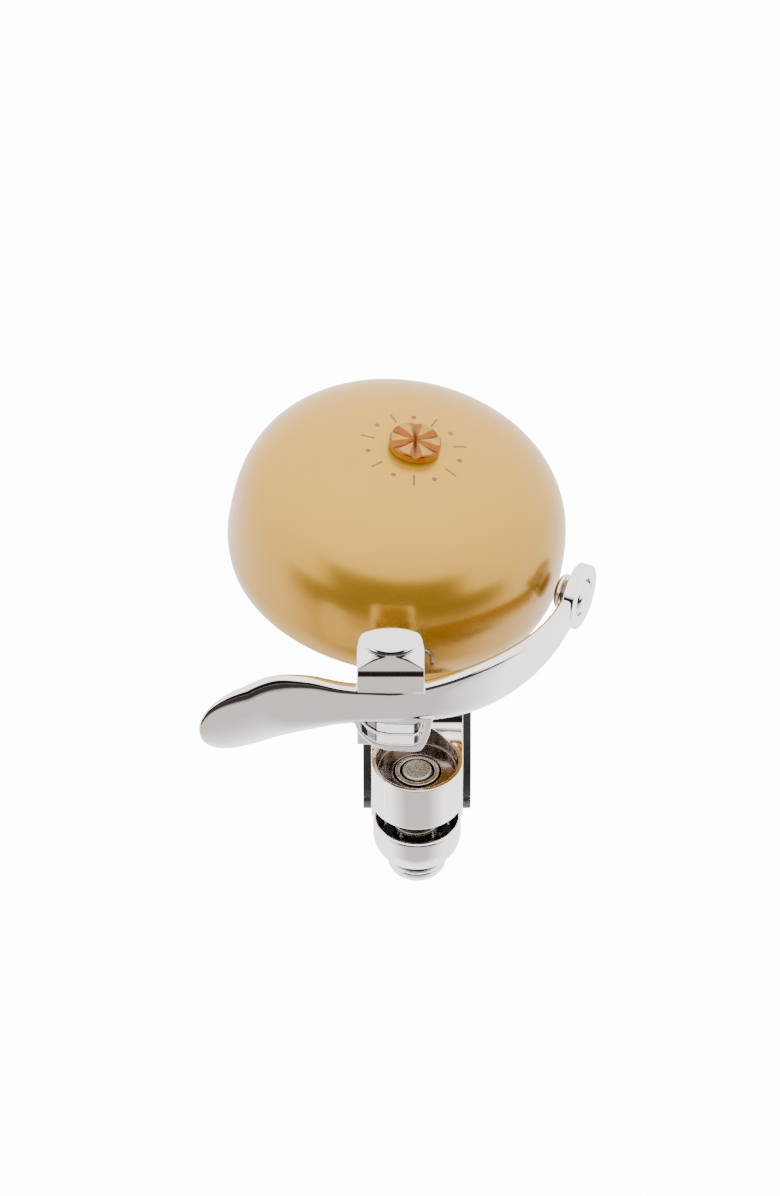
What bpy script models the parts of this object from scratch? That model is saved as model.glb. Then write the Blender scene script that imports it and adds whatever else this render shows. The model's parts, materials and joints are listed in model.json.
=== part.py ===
"""Bicycle bell: brass dome, sprung thumb lever with a plunger hammer, and a hinged handlebar clamp.

Frame: the origin is on the clamp's flat right side, MOUNT_Z above the handlebar's axis. +X runs
along the bar, +Y to the back of the bell and +Z up. Every dimension is in millimetres, and the
helpers that make meshes scale it to metres. The pieces are worked out round the handlebar's axis
at the middle of the clamp, and move_to_datum shifts them to the frame at the end.
"""

import math

import bmesh
import bpy
import numpy as np
from mathutils import Matrix, Vector

MM = 0.001
GAP = 0.3                     # clearance between neighbouring pieces
WELD = 1e-6                   # merge distance, metres
CUT = 0.5                     # how far a cutter runs past the face it opens

# Handlebar and clamp
BAR_R = 11.1                  # 22.2 mm handlebar
LINER_T = 0.8
LINER_HALF = 8.8              # half length along the bar
BAND_IN = BAR_R + LINER_T + GAP
BAND_OUT = BAND_IN + 0.9
BAND_HALF = 7.5
PAD_HALF = 7.45
PAD_TOP = 15.3                # flat that carries the bracket
PAD_FRONT = -9.5
PAD_BACK = 8.0
MOUNT_Z = 14.2                # height of the mounts on the clamp's sides
LINER_END_UPPER = -15.0       # front end of the upper liner, degrees from -Y towards +Z
LINER_END_LOWER = -20.0
SPLIT_REAR = 0.4              # half gap at the back of the band

# Clamp bolt
BOLT_Y = -17.2
BOLT_R = 2.5
BOLT_END = 8.7
BARREL_R = 7.45
BARREL_TOP = 10.6
BARREL_BOTTOM = 2.0
POCKET_R = 6.6
POCKET_FLOOR = 8.2
NUT_R = 3.6
NUT_LOW = 4.5
CUP_R = 7.15
CUP_TOP = -1.7
CUP_BOTTOM = -9.4
CUP_FLOOR = -4.7
CUP_HOLE_R = 3.4
WASHER_TOP = CUP_BOTTOM - 0.35
WASHER_T = 0.3
KNOB_R = 4.75
KNOB_TOP = WASHER_TOP - WASHER_T - GAP
KNOB_BOTTOM = -13.2

# Clamp hinge
HINGE_Y = 14.9
HINGE_R = 2.6
HINGE_PIN_R = 1.2
HINGE_MID = 3.0               # half length of the middle knuckle

# Dome, turned about an axis that leans to +X
DOME_CENTRE = (-3.6, 16.0, 28.0)
DOME_LEAN = 8.5
DOME_R = 27.5
DOME_H = 20.9                 # crown above the widest plane
DOME_POWER = 3.0              # squareness of the shoulder
DOME_RIM_R = 26.7
DOME_RIM_DROP = 4.0
DOME_T = 1.0
DOME_HOLE_R = 2.3

# Dome fastening, heights along the dome's axis from its widest plane
SCREW_HEAD_R = 4.25
SCREW_HEAD_H = 1.6
SCREW_R = 1.9
SCREW_TIP = 13.5
POST_R = 3.2
POST_TOP = 18.4
POST_SHOULDER = -2.8
STUD_R = 2.0
STUD_END = -10.9
BOSS_R = 5.2
BOSS_TOP = -7.2
BOSS_BOTTOM = -11.6

# Base bracket
PLATE_LOW = PAD_TOP + GAP
PLATE_TOP = 17.4
BASE_SCREW_YS = (-1.8, 5.0)
BASE_SCREW_R = 1.4
NECK_HALF = 1.8
NECK_LOW = 19.5
NECK_TOP = 23.0

# Lever pivot
PIVOT = (-4.3, -14.4)
PIVOT_BOSS_R = 2.7
PIVOT_BOSS_TOP = 23.7
PIN_R = 1.2
PIN_TOP = 33.0
FLANGE_TOP = 18.4

# Lever
FACE_Y = -21.0                # front face of the lever at the pivot
TAB_R = 5.4
TAB_TOP = 37.5
TAB_BACK_Y = -14.7
TAB_BACK_DEPTH = 3.0          # how far the back bulges
TAB_FACE_Y = FACE_Y + 0.6
TAB_STEP_Y = FACE_Y + 0.2     # face below the step
TAB_SILL = 28.6               # where the hood comes out of the blade's top edge
TAB_STEP_LOW = 32.1
TAB_STEP_HIGH = 33.0
LENS_R = 4.1                  # front edge of the flat on top
BROW_R = 1.5                  # rounding from that edge down to the face
FLARE_R = 7.8                 # where the round brow has widened into the flat face
LEVER_BOTTOM = 15.6
HOOD_TOP = 33.5
HOOD_HALF = 3.5
HOOD_FRONT = -17.4
POCKET_BACK = -18.3

# Hammer, distances outward from the dome's axis at the hammer's height
HAMMER_Z = 28.0
HAMMER_TURN = -23.3           # direction of the hammer's axis in plan, degrees from +X
EYE_R = 5.4
EYE_OUT = 33.4
EYE_IN = 31.4
EYE_RECESS_R = 3.1
EYE_RECESS = 32.2
STEM_R = 1.1
DISC_TIP = 28.6
DISC_BACK = 30.1
DISC_R = 3.0

PARTS_NAME = "bicycle_bell"


# ---------------------------------------------------------------- helpers

def clear_scene():
    for obj in list(bpy.data.objects):
        bpy.data.objects.remove(obj, do_unlink=True)


def new_collection(name):
    collection = bpy.data.collections.new(name)
    bpy.context.scene.collection.children.link(collection)
    return collection


def new_material(name, colour, metallic, roughness):
    material = bpy.data.materials.new(name)
    material.use_nodes = True
    shader = material.node_tree.nodes["Principled BSDF"]
    shader.inputs["Base Color"].default_value = (*colour, 1.0)
    shader.inputs["Metallic"].default_value = metallic
    shader.inputs["Roughness"].default_value = roughness
    return material


def make_object(name, bm, collection):
    bmesh.ops.recalc_face_normals(bm, faces=bm.faces)
    mesh = bpy.data.meshes.new(name)
    bm.to_mesh(mesh)
    bm.free()
    obj = bpy.data.objects.new(name, mesh)
    collection.objects.link(obj)
    return obj


def empty_at(name, location, rotation=(0.0, 0.0, 0.0)):
    empty = bpy.data.objects.new(name, None)
    empty.location = Vector(location) * MM
    empty.rotation_euler = [math.radians(angle) for angle in rotation]
    empty.empty_display_size = 5 * MM
    parts.objects.link(empty)
    bpy.context.view_layer.update()
    return empty


def keep_in_place(obj, parent):
    """Parents an object without moving it."""
    obj.parent = parent
    obj.matrix_parent_inverse = parent.matrix_world.inverted()


def finish(obj, material, parent=None, in_place=True):
    """Makes an object a visible part of the bell."""
    for collection in list(obj.users_collection):
        collection.objects.unlink(obj)
    parts.objects.link(obj)
    obj.hide_render = False
    obj.display_type = "TEXTURED"
    obj.data.materials.clear()
    obj.data.materials.append(material)
    obj.data.shade_smooth()
    obj.data.set_sharp_from_angle(angle=math.radians(35))
    if parent is not None and in_place:
        keep_in_place(obj, parent)
    elif parent is not None:
        obj.parent = parent
    return obj


def as_cutter(obj):
    obj.hide_render = True
    obj.display_type = "WIRE"
    return obj


def block(name, low, high):
    """Box between two corners."""
    bm = bmesh.new()
    bmesh.ops.create_cube(bm, size=1.0)
    low = Vector(low) * MM
    high = Vector(high) * MM
    size = high - low
    bmesh.ops.scale(bm, vec=size, verts=bm.verts)
    bmesh.ops.translate(bm, vec=(low + high) / 2, verts=bm.verts)
    return as_cutter(make_object(name, bm, cutters))


def rod(name, start, end, radius, segments=32, frame=Matrix()):
    """Cylinder from one point to another, in the space of a frame."""
    start = frame @ (Vector(start) * MM)
    end = frame @ (Vector(end) * MM)
    along = end - start
    turn = along.to_track_quat("Z", "Y").to_matrix().to_4x4()
    place = Matrix.Translation((start + end) / 2) @ turn
    bm = bmesh.new()
    bmesh.ops.create_cone(bm, cap_ends=True, segments=segments, radius1=radius * MM,
                          radius2=radius * MM, depth=along.length, matrix=place)
    return as_cutter(make_object(name, bm, cutters))


def curve_to_mesh(curve_object):
    """Replaces a curve object with a welded mesh of the same shape."""
    bpy.context.view_layer.update()
    evaluated = curve_object.evaluated_get(bpy.context.evaluated_depsgraph_get())
    mesh = bpy.data.meshes.new_from_object(evaluated)
    bm = bmesh.new()
    bm.from_mesh(mesh)
    bmesh.ops.remove_doubles(bm, verts=bm.verts, dist=WELD)
    obj = make_object(curve_object.name + "_mesh", bm, cutters)
    obj.matrix_world = curve_object.matrix_world.copy()
    name = curve_object.name
    bpy.data.objects.remove(curve_object, do_unlink=True)
    obj.name = name
    return as_cutter(obj)


PLANES = {
    "XY": Matrix(((1, 0, 0), (0, 1, 0), (0, 0, 1))),
    "YZ": Matrix(((0, 0, 1), (1, 0, 0), (0, 1, 0))),
    "XZ": Matrix(((1, 0, 0), (0, 0, -1), (0, 1, 0))),
}


def slab(name, outline, low, high, plane="XY"):
    """Flat outline extruded from low to high along the plane's normal (-Y for XZ)."""
    curve = bpy.data.curves.new(name, "CURVE")
    curve.dimensions = "2D"
    curve.fill_mode = "BOTH"
    curve.extrude = (high - low) / 2 * MM
    spline = curve.splines.new("POLY")
    spline.points.add(len(outline) - 1)
    for point, (u, v) in zip(spline.points, outline):
        point.co = (u * MM, v * MM, 0.0, 1.0)
    spline.use_cyclic_u = True
    obj = bpy.data.objects.new(name, curve)
    cutters.objects.link(obj)
    turn = PLANES[plane].to_4x4()
    obj.matrix_world = turn @ Matrix.Translation((0, 0, (low + high) / 2 * MM))
    return curve_to_mesh(obj)


def wire(name, points, radius):
    """Round wire along a list of points."""
    curve = bpy.data.curves.new(name, "CURVE")
    curve.dimensions = "3D"
    curve.bevel_depth = radius * MM
    curve.bevel_resolution = 2
    curve.use_fill_caps = True
    spline = curve.splines.new("POLY")
    spline.points.add(len(points) - 1)
    for point, place in zip(spline.points, points):
        point.co = (*(Vector(place) * MM), 1.0)
    obj = bpy.data.objects.new(name, curve)
    cutters.objects.link(obj)
    return curve_to_mesh(obj)


def turned(name, profile, closed=False, segments=32):
    """Profile of (radius, height) turned about Z; it runs down the outer side."""
    mesh = bpy.data.meshes.new(name)
    points = [(radius * MM, 0.0, height * MM) for radius, height in profile]
    count = len(points)
    edges = [(i, i + 1) for i in range(count - 1)]
    if closed:
        edges.append((count - 1, 0))
    mesh.from_pydata(points, edges, [])
    obj = bpy.data.objects.new(name, mesh)
    cutters.objects.link(obj)
    screw = obj.modifiers.new("turn", "SCREW")
    screw.axis = "Z"
    screw.angle = math.tau
    screw.steps = segments
    screw.render_steps = segments
    screw.use_merge_vertices = True
    screw.merge_threshold = WELD
    screw.use_smooth_shade = True
    return as_cutter(obj)


def ring(name, inner, outer, low, high, segments=32):
    profile = [(outer, high), (outer, low), (inner, low), (inner, high)]
    return turned(name, profile, closed=True, segments=segments)


def combine(obj, other, operation):
    """Boolean with another mesh, which stays as a hidden guide."""
    modifier = obj.modifiers.new(other.name, "BOOLEAN")
    modifier.operation = operation
    modifier.solver = "EXACT"
    modifier.object = other
    as_cutter(other)


def add(obj, *others):
    for other in others:
        combine(obj, other, "UNION")


def cut(obj, *others):
    for other in others:
        combine(obj, other, "DIFFERENCE")


def arc(centre, radius, start, end, count):
    """Points on an arc; angles in degrees."""
    angles = np.radians(np.linspace(start, end, count))
    return [(centre[0] + radius * math.cos(a), centre[1] + radius * math.sin(a)) for a in angles]


def smooth_keys(keys, t):
    """Smooth curve through rows of (t, value, ...), returned at t as a list of the values."""
    rows = np.array(keys, dtype=float)
    x = rows[:, 0]
    values = rows[:, 1:]
    slopes = np.gradient(values, x, axis=0)
    i = int(np.clip(np.searchsorted(x, t) - 1, 0, len(x) - 2))
    width = x[i + 1] - x[i]
    s = float(np.clip((t - x[i]) / width, 0.0, 1.0))
    h00 = (1 + 2 * s) * (1 - s) ** 2
    h10 = s * (1 - s) ** 2
    h01 = s * s * (3 - 2 * s)
    h11 = s * s * (s - 1)
    return (h00 * values[i] + h10 * width * slopes[i]
            + h01 * values[i + 1] + h11 * width * slopes[i + 1])


# ---------------------------------------------------------------- dome

def dome_profile():
    """Closed section of the bell's wall: outside from the hole to the rim, then back inside."""
    def upper(radius, height, start):
        angles = np.linspace(start, 0.0, 11)
        return [(radius * math.cos(a) ** (2 / DOME_POWER), height * math.sin(a) ** (2 / DOME_POWER))
                for a in angles]

    def hole_angle(radius):
        return math.acos((DOME_HOLE_R / radius) ** (DOME_POWER / 2))

    def lower(radius, rim):
        drops = np.linspace(0.0, 1.0, 4)[1:]
        return [(radius - (radius - rim) * t * t, -DOME_RIM_DROP * t) for t in drops]

    inner_r = DOME_R - DOME_T
    outside = upper(DOME_R, DOME_H, hole_angle(DOME_R)) + lower(DOME_R, DOME_RIM_R)
    inside = upper(inner_r, DOME_H - DOME_T, hole_angle(inner_r))
    inside += lower(inner_r, DOME_RIM_R - DOME_T)
    return outside + inside[::-1]


def make_dome():
    dome = turned("dome", dome_profile(), closed=True, segments=48)
    finish(dome, brass, dome_axis, in_place=False)

    head_low = DOME_H + GAP
    head_top = head_low + SCREW_HEAD_H
    screw = turned("dome_screw", [
        (0, head_top), (SCREW_HEAD_R - 0.6, head_top), (SCREW_HEAD_R - 0.15, head_top - 0.2),
        (SCREW_HEAD_R, head_top - 0.6), (SCREW_HEAD_R, head_low), (SCREW_R, head_low),
        (SCREW_R, SCREW_TIP), (0, SCREW_TIP)], segments=28)
    finish(screw, copper, dome_axis, in_place=False)
    for index, angle in enumerate((90, 30, 150)):
        bm = bmesh.new()
        bmesh.ops.create_cube(bm, size=1.0)
        bmesh.ops.scale(bm, vec=(0.012, 0.0009, 0.0009), verts=bm.verts)
        tip_up = Matrix.Rotation(math.radians(45), 4, "X")
        spin = Matrix.Rotation(math.radians(angle), 4, "Z")
        lift = Matrix.Translation((0, 0, (head_top + 0.1) * MM))
        bmesh.ops.transform(bm, matrix=lift @ spin @ tip_up, verts=bm.verts)
        groove = as_cutter(make_object("screw_groove_%d" % index, bm, cutters))
        groove.parent = dome_axis
        cut(screw, groove)

    washer = ring("dome_washer", DOME_HOLE_R, 5.0, POST_TOP + GAP, POST_TOP + GAP + 0.8)
    finish(washer, fibre, dome_axis, in_place=False)

    post = turned("dome_post", [
        (0, SCREW_TIP - 1), (SCREW_R + GAP, SCREW_TIP - 1), (SCREW_R + GAP, POST_TOP),
        (POST_R, POST_TOP), (POST_R, POST_SHOULDER), (STUD_R, POST_SHOULDER),
        (STUD_R, STUD_END), (0, STUD_END)], segments=28)
    finish(post, steel, dome_axis, in_place=False)

    washer_low = BOSS_TOP + GAP
    nut_low = washer_low + 0.6 + GAP
    post_washer = ring("post_washer", STUD_R + GAP, 4.8, washer_low, washer_low + 0.6)
    finish(post_washer, steel, dome_axis, in_place=False)
    frame = dome_axis.matrix_world
    nut = rod("post_nut", (0, 0, nut_low), (0, 0, POST_SHOULDER - GAP), 4.04, 6, frame)
    bore = rod("post_nut_bore", (0, 0, nut_low - CUT), (0, 0, POST_SHOULDER), STUD_R + GAP, 24, frame)
    cut(nut, bore)
    finish(nut, steel, dome_axis)


# ---------------------------------------------------------------- base bracket

def make_bracket():
    px, py = PIVOT
    rear_x = DOME_CENTRE[0] - 1.6
    outline = [(px - 4.7, PAD_FRONT + 0.3), (px + 4.7, PAD_FRONT + 0.3), (px + 5.0, 6.0)]
    outline += arc((rear_x, DOME_CENTRE[1]), 6.8, -10, 190, 15)
    outline += [(px - 5.0, 6.0)]
    bracket = slab("base_bracket", outline, PLATE_LOW, PLATE_TOP)
    web = block("bracket_web", (px - NECK_HALF, PAD_FRONT + 0.4, PLATE_TOP - 1),
                (px + NECK_HALF, -5.4, NECK_TOP - 0.05))
    neck = block("bracket_neck", (px - NECK_HALF + 0.05, py, NECK_LOW),
                 (px + NECK_HALF - 0.05, -5.8, NECK_TOP))
    boss = rod("pivot_boss", (px, py, NECK_LOW - 0.02), (px, py, PIVOT_BOSS_TOP), PIVOT_BOSS_R, 28)
    frame = dome_axis.matrix_world
    post_boss = rod("post_boss", (0, 0, BOSS_BOTTOM), (0, 0, BOSS_TOP), BOSS_R, 28, frame)
    add(bracket, web, neck, boss, post_boss)
    cut(bracket,
        rod("pivot_bore", (px, py, NECK_LOW - 1), (px, py, PIVOT_BOSS_TOP + 1), 2.1, 24),
        rod("stud_bore", (0, 0, STUD_END - GAP), (0, 0, BOSS_TOP + CUT), STUD_R + GAP, 24, frame))
    for index, y in enumerate(BASE_SCREW_YS):
        cut(bracket, rod("base_hole_%d" % index, (px, y, PLATE_LOW - 1), (px, y, PLATE_TOP + 1),
                         BASE_SCREW_R + GAP, 20))
    finish(bracket, chrome)

    for name, y in zip(("base_screw_front", "base_screw_rear"), BASE_SCREW_YS):
        head_low = PLATE_TOP + GAP
        screw = turned(name, [
            (0, head_low + 1.6), (1.8, head_low + 1.5), (2.4, head_low + 1.0), (2.6, head_low + 0.4),
            (2.6, head_low), (BASE_SCREW_R, head_low), (BASE_SCREW_R, 13.3), (0, 13.3)], segments=24)
        screw.location = Vector((px, y, 0)) * MM
        socket = rod(name + "_socket", (px, y, head_low + 0.7), (px, y, head_low + 2), 1.2, 6)
        cut(screw, socket)
        finish(screw, steel)


# ---------------------------------------------------------------- lever

# Paddle from its tip to the pivot: (x, front face y, middle height, half height, thickness)
PADDLE_KEYS = (
    (-34.6, -25.3, 24.3, 0.0, 1.2),
    (-27.0, -23.0, 24.5, 6.2, 2.9),
    (-23.0, -21.8, 25.2, 6.5, 3.0),
    (-18.0, -21.1, 25.5, 5.6, 2.9),
    (-12.0, -21.0, 25.5, 4.0, 2.6),
    (-4.3, -21.0, 25.5, 3.3, 2.3),
)
PADDLE_TIP_END = -27.0        # x where the rounded end of the paddle begins

# Arm from the pivot to the eye: (angle round the dome, top height, bottom height)
ARM_KEYS = (
    (0.0, 28.8, 22.2),
    (12.0, 29.8, 21.7),
    (22.0, 30.5, 21.6),
    (38.0, 30.7, 22.6),
    (52.0, 30.5, 24.1),
    (64.0, 30.6, 25.2),
)
ARM_START_R = 37.0            # plan distance from the dome's axis to the arm's face
ARM_END_R = 33.35
ARM_T = 2.2


def rounded_section(thickness, half_height, squareness, count=16):
    """Rounded section in (inward distance, height)."""
    points = []
    for a in np.arange(count) / count * math.tau:
        across = math.copysign(abs(math.cos(a)) ** (2 / squareness), math.cos(a))
        up = math.copysign(abs(math.sin(a)) ** (2 / squareness), math.sin(a))
        points.append((thickness / 2 * (1 + across), half_height * up))
    return points


def lever_stations():
    """Sections along the lever: (face x, face y, middle z, half height, thickness, squareness)."""
    stations = []
    tip_x = PADDLE_KEYS[0][0]
    for a in np.linspace(8, 90, 7):
        x = PADDLE_TIP_END + (tip_x - PADDLE_TIP_END) * math.cos(math.radians(a))
        y, z, _, thickness = smooth_keys(PADDLE_KEYS, x)
        full = PADDLE_KEYS[1][3]
        stations.append((x, y, z, full * math.sin(math.radians(a)) ** 0.9, thickness, 2.4))
    for x in np.linspace(PADDLE_TIP_END + 1.6, PIVOT[0] - 1.5, 13):
        y, z, half, thickness = smooth_keys(PADDLE_KEYS, x)
        squareness = float(np.interp(x, (-20, -10), (2.4, 4.0)))
        stations.append((x, y, z, half, thickness, squareness))
    for degrees in np.linspace(1.5, 65, 17):
        turn = math.radians(degrees)
        radius = ARM_START_R - (ARM_START_R - ARM_END_R) * min(degrees / 60, 1.0) ** 1.5
        top, bottom = smooth_keys(ARM_KEYS, degrees)
        x = DOME_CENTRE[0] + radius * math.sin(turn)
        y = DOME_CENTRE[1] - radius * math.cos(turn)
        stations.append((x, y, (top + bottom) / 2, (top - bottom) / 2, ARM_T, 4.0))
    return stations


def lever_blade():
    """Paddle and arm, lofted through their sections."""
    stations = lever_stations()
    path = np.array([(s[0], s[1]) for s in stations])
    tangents = np.gradient(path, axis=0)
    bm = bmesh.new()
    rings = []
    for (x, y, z, half, thickness, squareness), (tx, ty) in zip(stations, tangents):
        length = math.hypot(tx, ty)
        inward = (-ty / length, tx / length)
        loop = []
        for depth, up in rounded_section(thickness, half, squareness):
            place = Vector((x + inward[0] * depth, y + inward[1] * depth, z + up)) * MM
            loop.append(bm.verts.new(place))
        rings.append(loop)
    for first, second in zip(rings, rings[1:]):
        count = len(first)
        for i in range(count):
            j = (i + 1) % count
            bm.faces.new((first[i], first[j], second[j], second[i]))
    bm.faces.new(rings[0][::-1])
    bm.faces.new(rings[-1])
    return as_cutter(make_object("lever", bm, cutters))


def lever_tab():
    """Upright hood over the pivot, with a lens-shaped flat on top."""
    px = PIVOT[0]
    centre_y = TAB_BACK_Y - TAB_BACK_DEPTH
    outline = [(px - TAB_R, TAB_STEP_Y), (px + TAB_R, TAB_STEP_Y)]
    outline += [(px + TAB_R * math.cos(a), centre_y + TAB_BACK_DEPTH * math.sin(a))
                for a in np.linspace(0, math.pi, 19)]
    return slab("lever_tab", outline, FLANGE_TOP - 1.5, TAB_TOP)


def lever_foot():
    """Lower part of the knuckle, seen from the front as a shallow cup under the blade."""
    outline = [(-10.4, 23.2), (-10.0, 21.4), (-9.4, 19.8), (-8.5, 18.5), (-7.3, 17.2), (-5.0, 16.0),
               (-0.4, 15.6), (0.7, 16.0), (1.4, 17.4), (2.0, 19.6), (2.4, 22.0), (2.4, 23.2)]
    return slab("lever_foot", outline, 17.0, -FACE_Y - 0.1, "XZ")


def lever_foot_pocket():
    outline = [(-9.4, 22.4), (-9.0, 20.2), (-8.0, 18.9), (-6.6, 17.8), (-4.6, 17.3),
               (-0.6, 17.2), (0.3, 17.8), (0.9, 19.6), (1.2, 22.4)]
    return slab("foot_pocket", outline, -POCKET_BACK, -FACE_Y + 1.0, "XZ")


def tab_face_cutter():
    """Sets the hood's face back, but for a band above the blade that ends in a slanting step."""
    px = PIVOT[0]
    outline = [(FACE_Y - 3, LEVER_BOTTOM), (TAB_FACE_Y, LEVER_BOTTOM), (TAB_FACE_Y, TAB_SILL - 0.3),
               (TAB_STEP_Y, TAB_SILL), (TAB_STEP_Y, TAB_STEP_LOW), (TAB_FACE_Y, TAB_STEP_HIGH),
               (TAB_FACE_Y, TAB_TOP + 1), (FACE_Y - 3, TAB_TOP + 1)]
    return slab("tab_face_cutter", outline, px - TAB_R - 0.6, px + TAB_R + 0.6, "YZ")


def tab_brow_cutter():
    """Rounds the hood's front from its top flat, widening downwards into the flat face."""
    rim = TAB_TOP + 1
    foot = TAB_STEP_HIGH + 0.2
    profile = [(FLARE_R + 4, rim), (FLARE_R + 4, foot), (FLARE_R, foot)]
    profile += arc((LENS_R, TAB_TOP - BROW_R), BROW_R, 0, 90, 6)
    profile += [(LENS_R - 0.1, TAB_TOP + 0.02), (LENS_R - 1, TAB_TOP + 0.05), (LENS_R - 1, rim)]
    brow = turned("tab_brow_cutter", profile, segments=48, closed=True)
    brow.location = Vector((PIVOT[0], TAB_FACE_Y + BROW_R + LENS_R, 0)) * MM
    return brow


def make_lever():
    px, py = PIVOT
    lever = lever_blade()
    flange_outline = arc((px, py), 2.9, -20, 200, 13) + [(-7.0, -18.0), (0.0, -18.0)]
    flange = slab("lever_flange", flange_outline, LEVER_BOTTOM + 0.1, FLANGE_TOP)
    eye = rod("lever_eye", (0, 0, EYE_IN), (0, 0, EYE_OUT), EYE_R, 40, hammer_axis.matrix_world)
    tab = lever_tab()
    cut(tab, tab_face_cutter(), tab_brow_cutter())
    add(lever, tab, lever_foot(), flange, eye)
    cut(lever,
        block("hood_cutter", (px - HOOD_HALF, HOOD_FRONT, FLANGE_TOP), (px + HOOD_HALF, -8, HOOD_TOP)),
        lever_foot_pocket(),
        rod("pin_bore", (px, py, LEVER_BOTTOM - 1), (px, py, FLANGE_TOP + 1), PIN_R + GAP, 20),
        rod("eye_recess", (0, 0, EYE_RECESS), (0, 0, EYE_OUT + 1), EYE_RECESS_R, 32,
            hammer_axis.matrix_world),
        rod("eye_bore", (0, 0, EYE_IN - 1), (0, 0, EYE_OUT), STEM_R + GAP, 20,
            hammer_axis.matrix_world))
    finish(lever, chrome, lever_axis)

    pin = turned("pivot_pin", [
        (0, PIN_TOP), (PIN_R - 0.3, PIN_TOP), (PIN_R, PIN_TOP - 0.3), (PIN_R, LEVER_BOTTOM - GAP),
        (2.2, LEVER_BOTTOM - GAP), (2.2, 14.4), (1.8, 14.0), (0, 14.0)], segments=20)
    finish(pin, steel, lever_axis, in_place=False)
    bushing = ring("pivot_bushing", PIN_R + 0.2, 1.85, NECK_LOW, PIVOT_BOSS_TOP - 0.05, 20)
    bushing.location = Vector((px, py, 0)) * MM
    finish(bushing, bronze)
    washer = ring("pivot_washer", PIN_R + GAP, 2.6, FLANGE_TOP + 0.25, NECK_LOW - 0.25, 24)
    finish(washer, nylon, lever_axis, in_place=False)

    coil_r = 2.1
    coil_low = PIVOT_BOSS_TOP + 0.75
    coil_high = coil_low + 6.0
    sweep = 5 * 360 + 110         # clockwise from above, ending at the back of the pin
    steps = 54
    points = []
    for i in range(steps + 1):
        a = math.radians(200 - sweep * i / steps)
        z = coil_low + (coil_high - coil_low) * i / steps
        points.append((px + coil_r * math.cos(a), py + coil_r * math.sin(a), z))
    hook_z = coil_high + 0.4
    points += [(px + 2.0, py + 1.95, hook_z), (px + 5.6, py + 1.2, hook_z), (px + 6.4, py + 0.6, hook_z),
               (px + 6.6, py - 0.3, hook_z), (px + 6.6, py - 1.8, hook_z)]
    spring = wire("torsion_spring", points, 0.35)
    finish(spring, spring_steel, lever_axis)


def make_hammer():
    striker = turned("striker", [
        (0, EYE_OUT - 0.1), (STEM_R, EYE_OUT - 0.1), (STEM_R, DISC_BACK), (DISC_R - 0.3, DISC_BACK),
        (DISC_R, DISC_BACK - 0.3), (DISC_R, DISC_TIP + 0.9), (DISC_R - 0.6, DISC_TIP + 0.35),
        (DISC_R - 1.6, DISC_TIP + 0.08), (0, DISC_TIP)], segments=32)
    finish(striker, chrome, hammer_axis, in_place=False)
    low = EYE_RECESS + GAP
    roof = EYE_OUT + 0.2
    cap = turned("striker_cap", [
        (0, roof + 0.6), (1.2, roof + 0.5), (2.1, roof + 0.2), (2.6, roof - 0.3), (2.75, roof - 0.8),
        (2.75, low), (STEM_R + GAP, low), (STEM_R + GAP, roof), (0, roof)], segments=32)
    finish(cap, chrome, hammer_axis, in_place=False)
    steps = 18
    frame = hammer_axis.matrix_world
    points = []
    for i in range(steps + 1):
        a = math.tau * 1.5 * i / steps
        local = Vector((1.9 * math.cos(a), 1.9 * math.sin(a), DISC_BACK + 0.3 + 0.35 * i / steps))
        points.append((frame @ (local * MM)) / MM)
    finish(wire("striker_spring", points, 0.15), spring_steel, hammer_axis)


# ---------------------------------------------------------------- clamp

def half_disc(radius, front_z, rear_z, side):
    """Outline in (y, z) of the band's half disc; side is 1 for the upper half, -1 for the lower."""
    start = math.degrees(math.asin(rear_z / radius))
    end = 180 - math.degrees(math.asin(front_z / radius))
    if side < 0:
        end = -180 - math.degrees(math.asin(front_z / radius))
    return arc((0, 0), radius, start, end, 33)


def hinge_rod(name, low, high, radius, segments=28):
    return rod(name, (low, HINGE_Y, 0), (high, HINGE_Y, 0), radius, segments)


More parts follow.
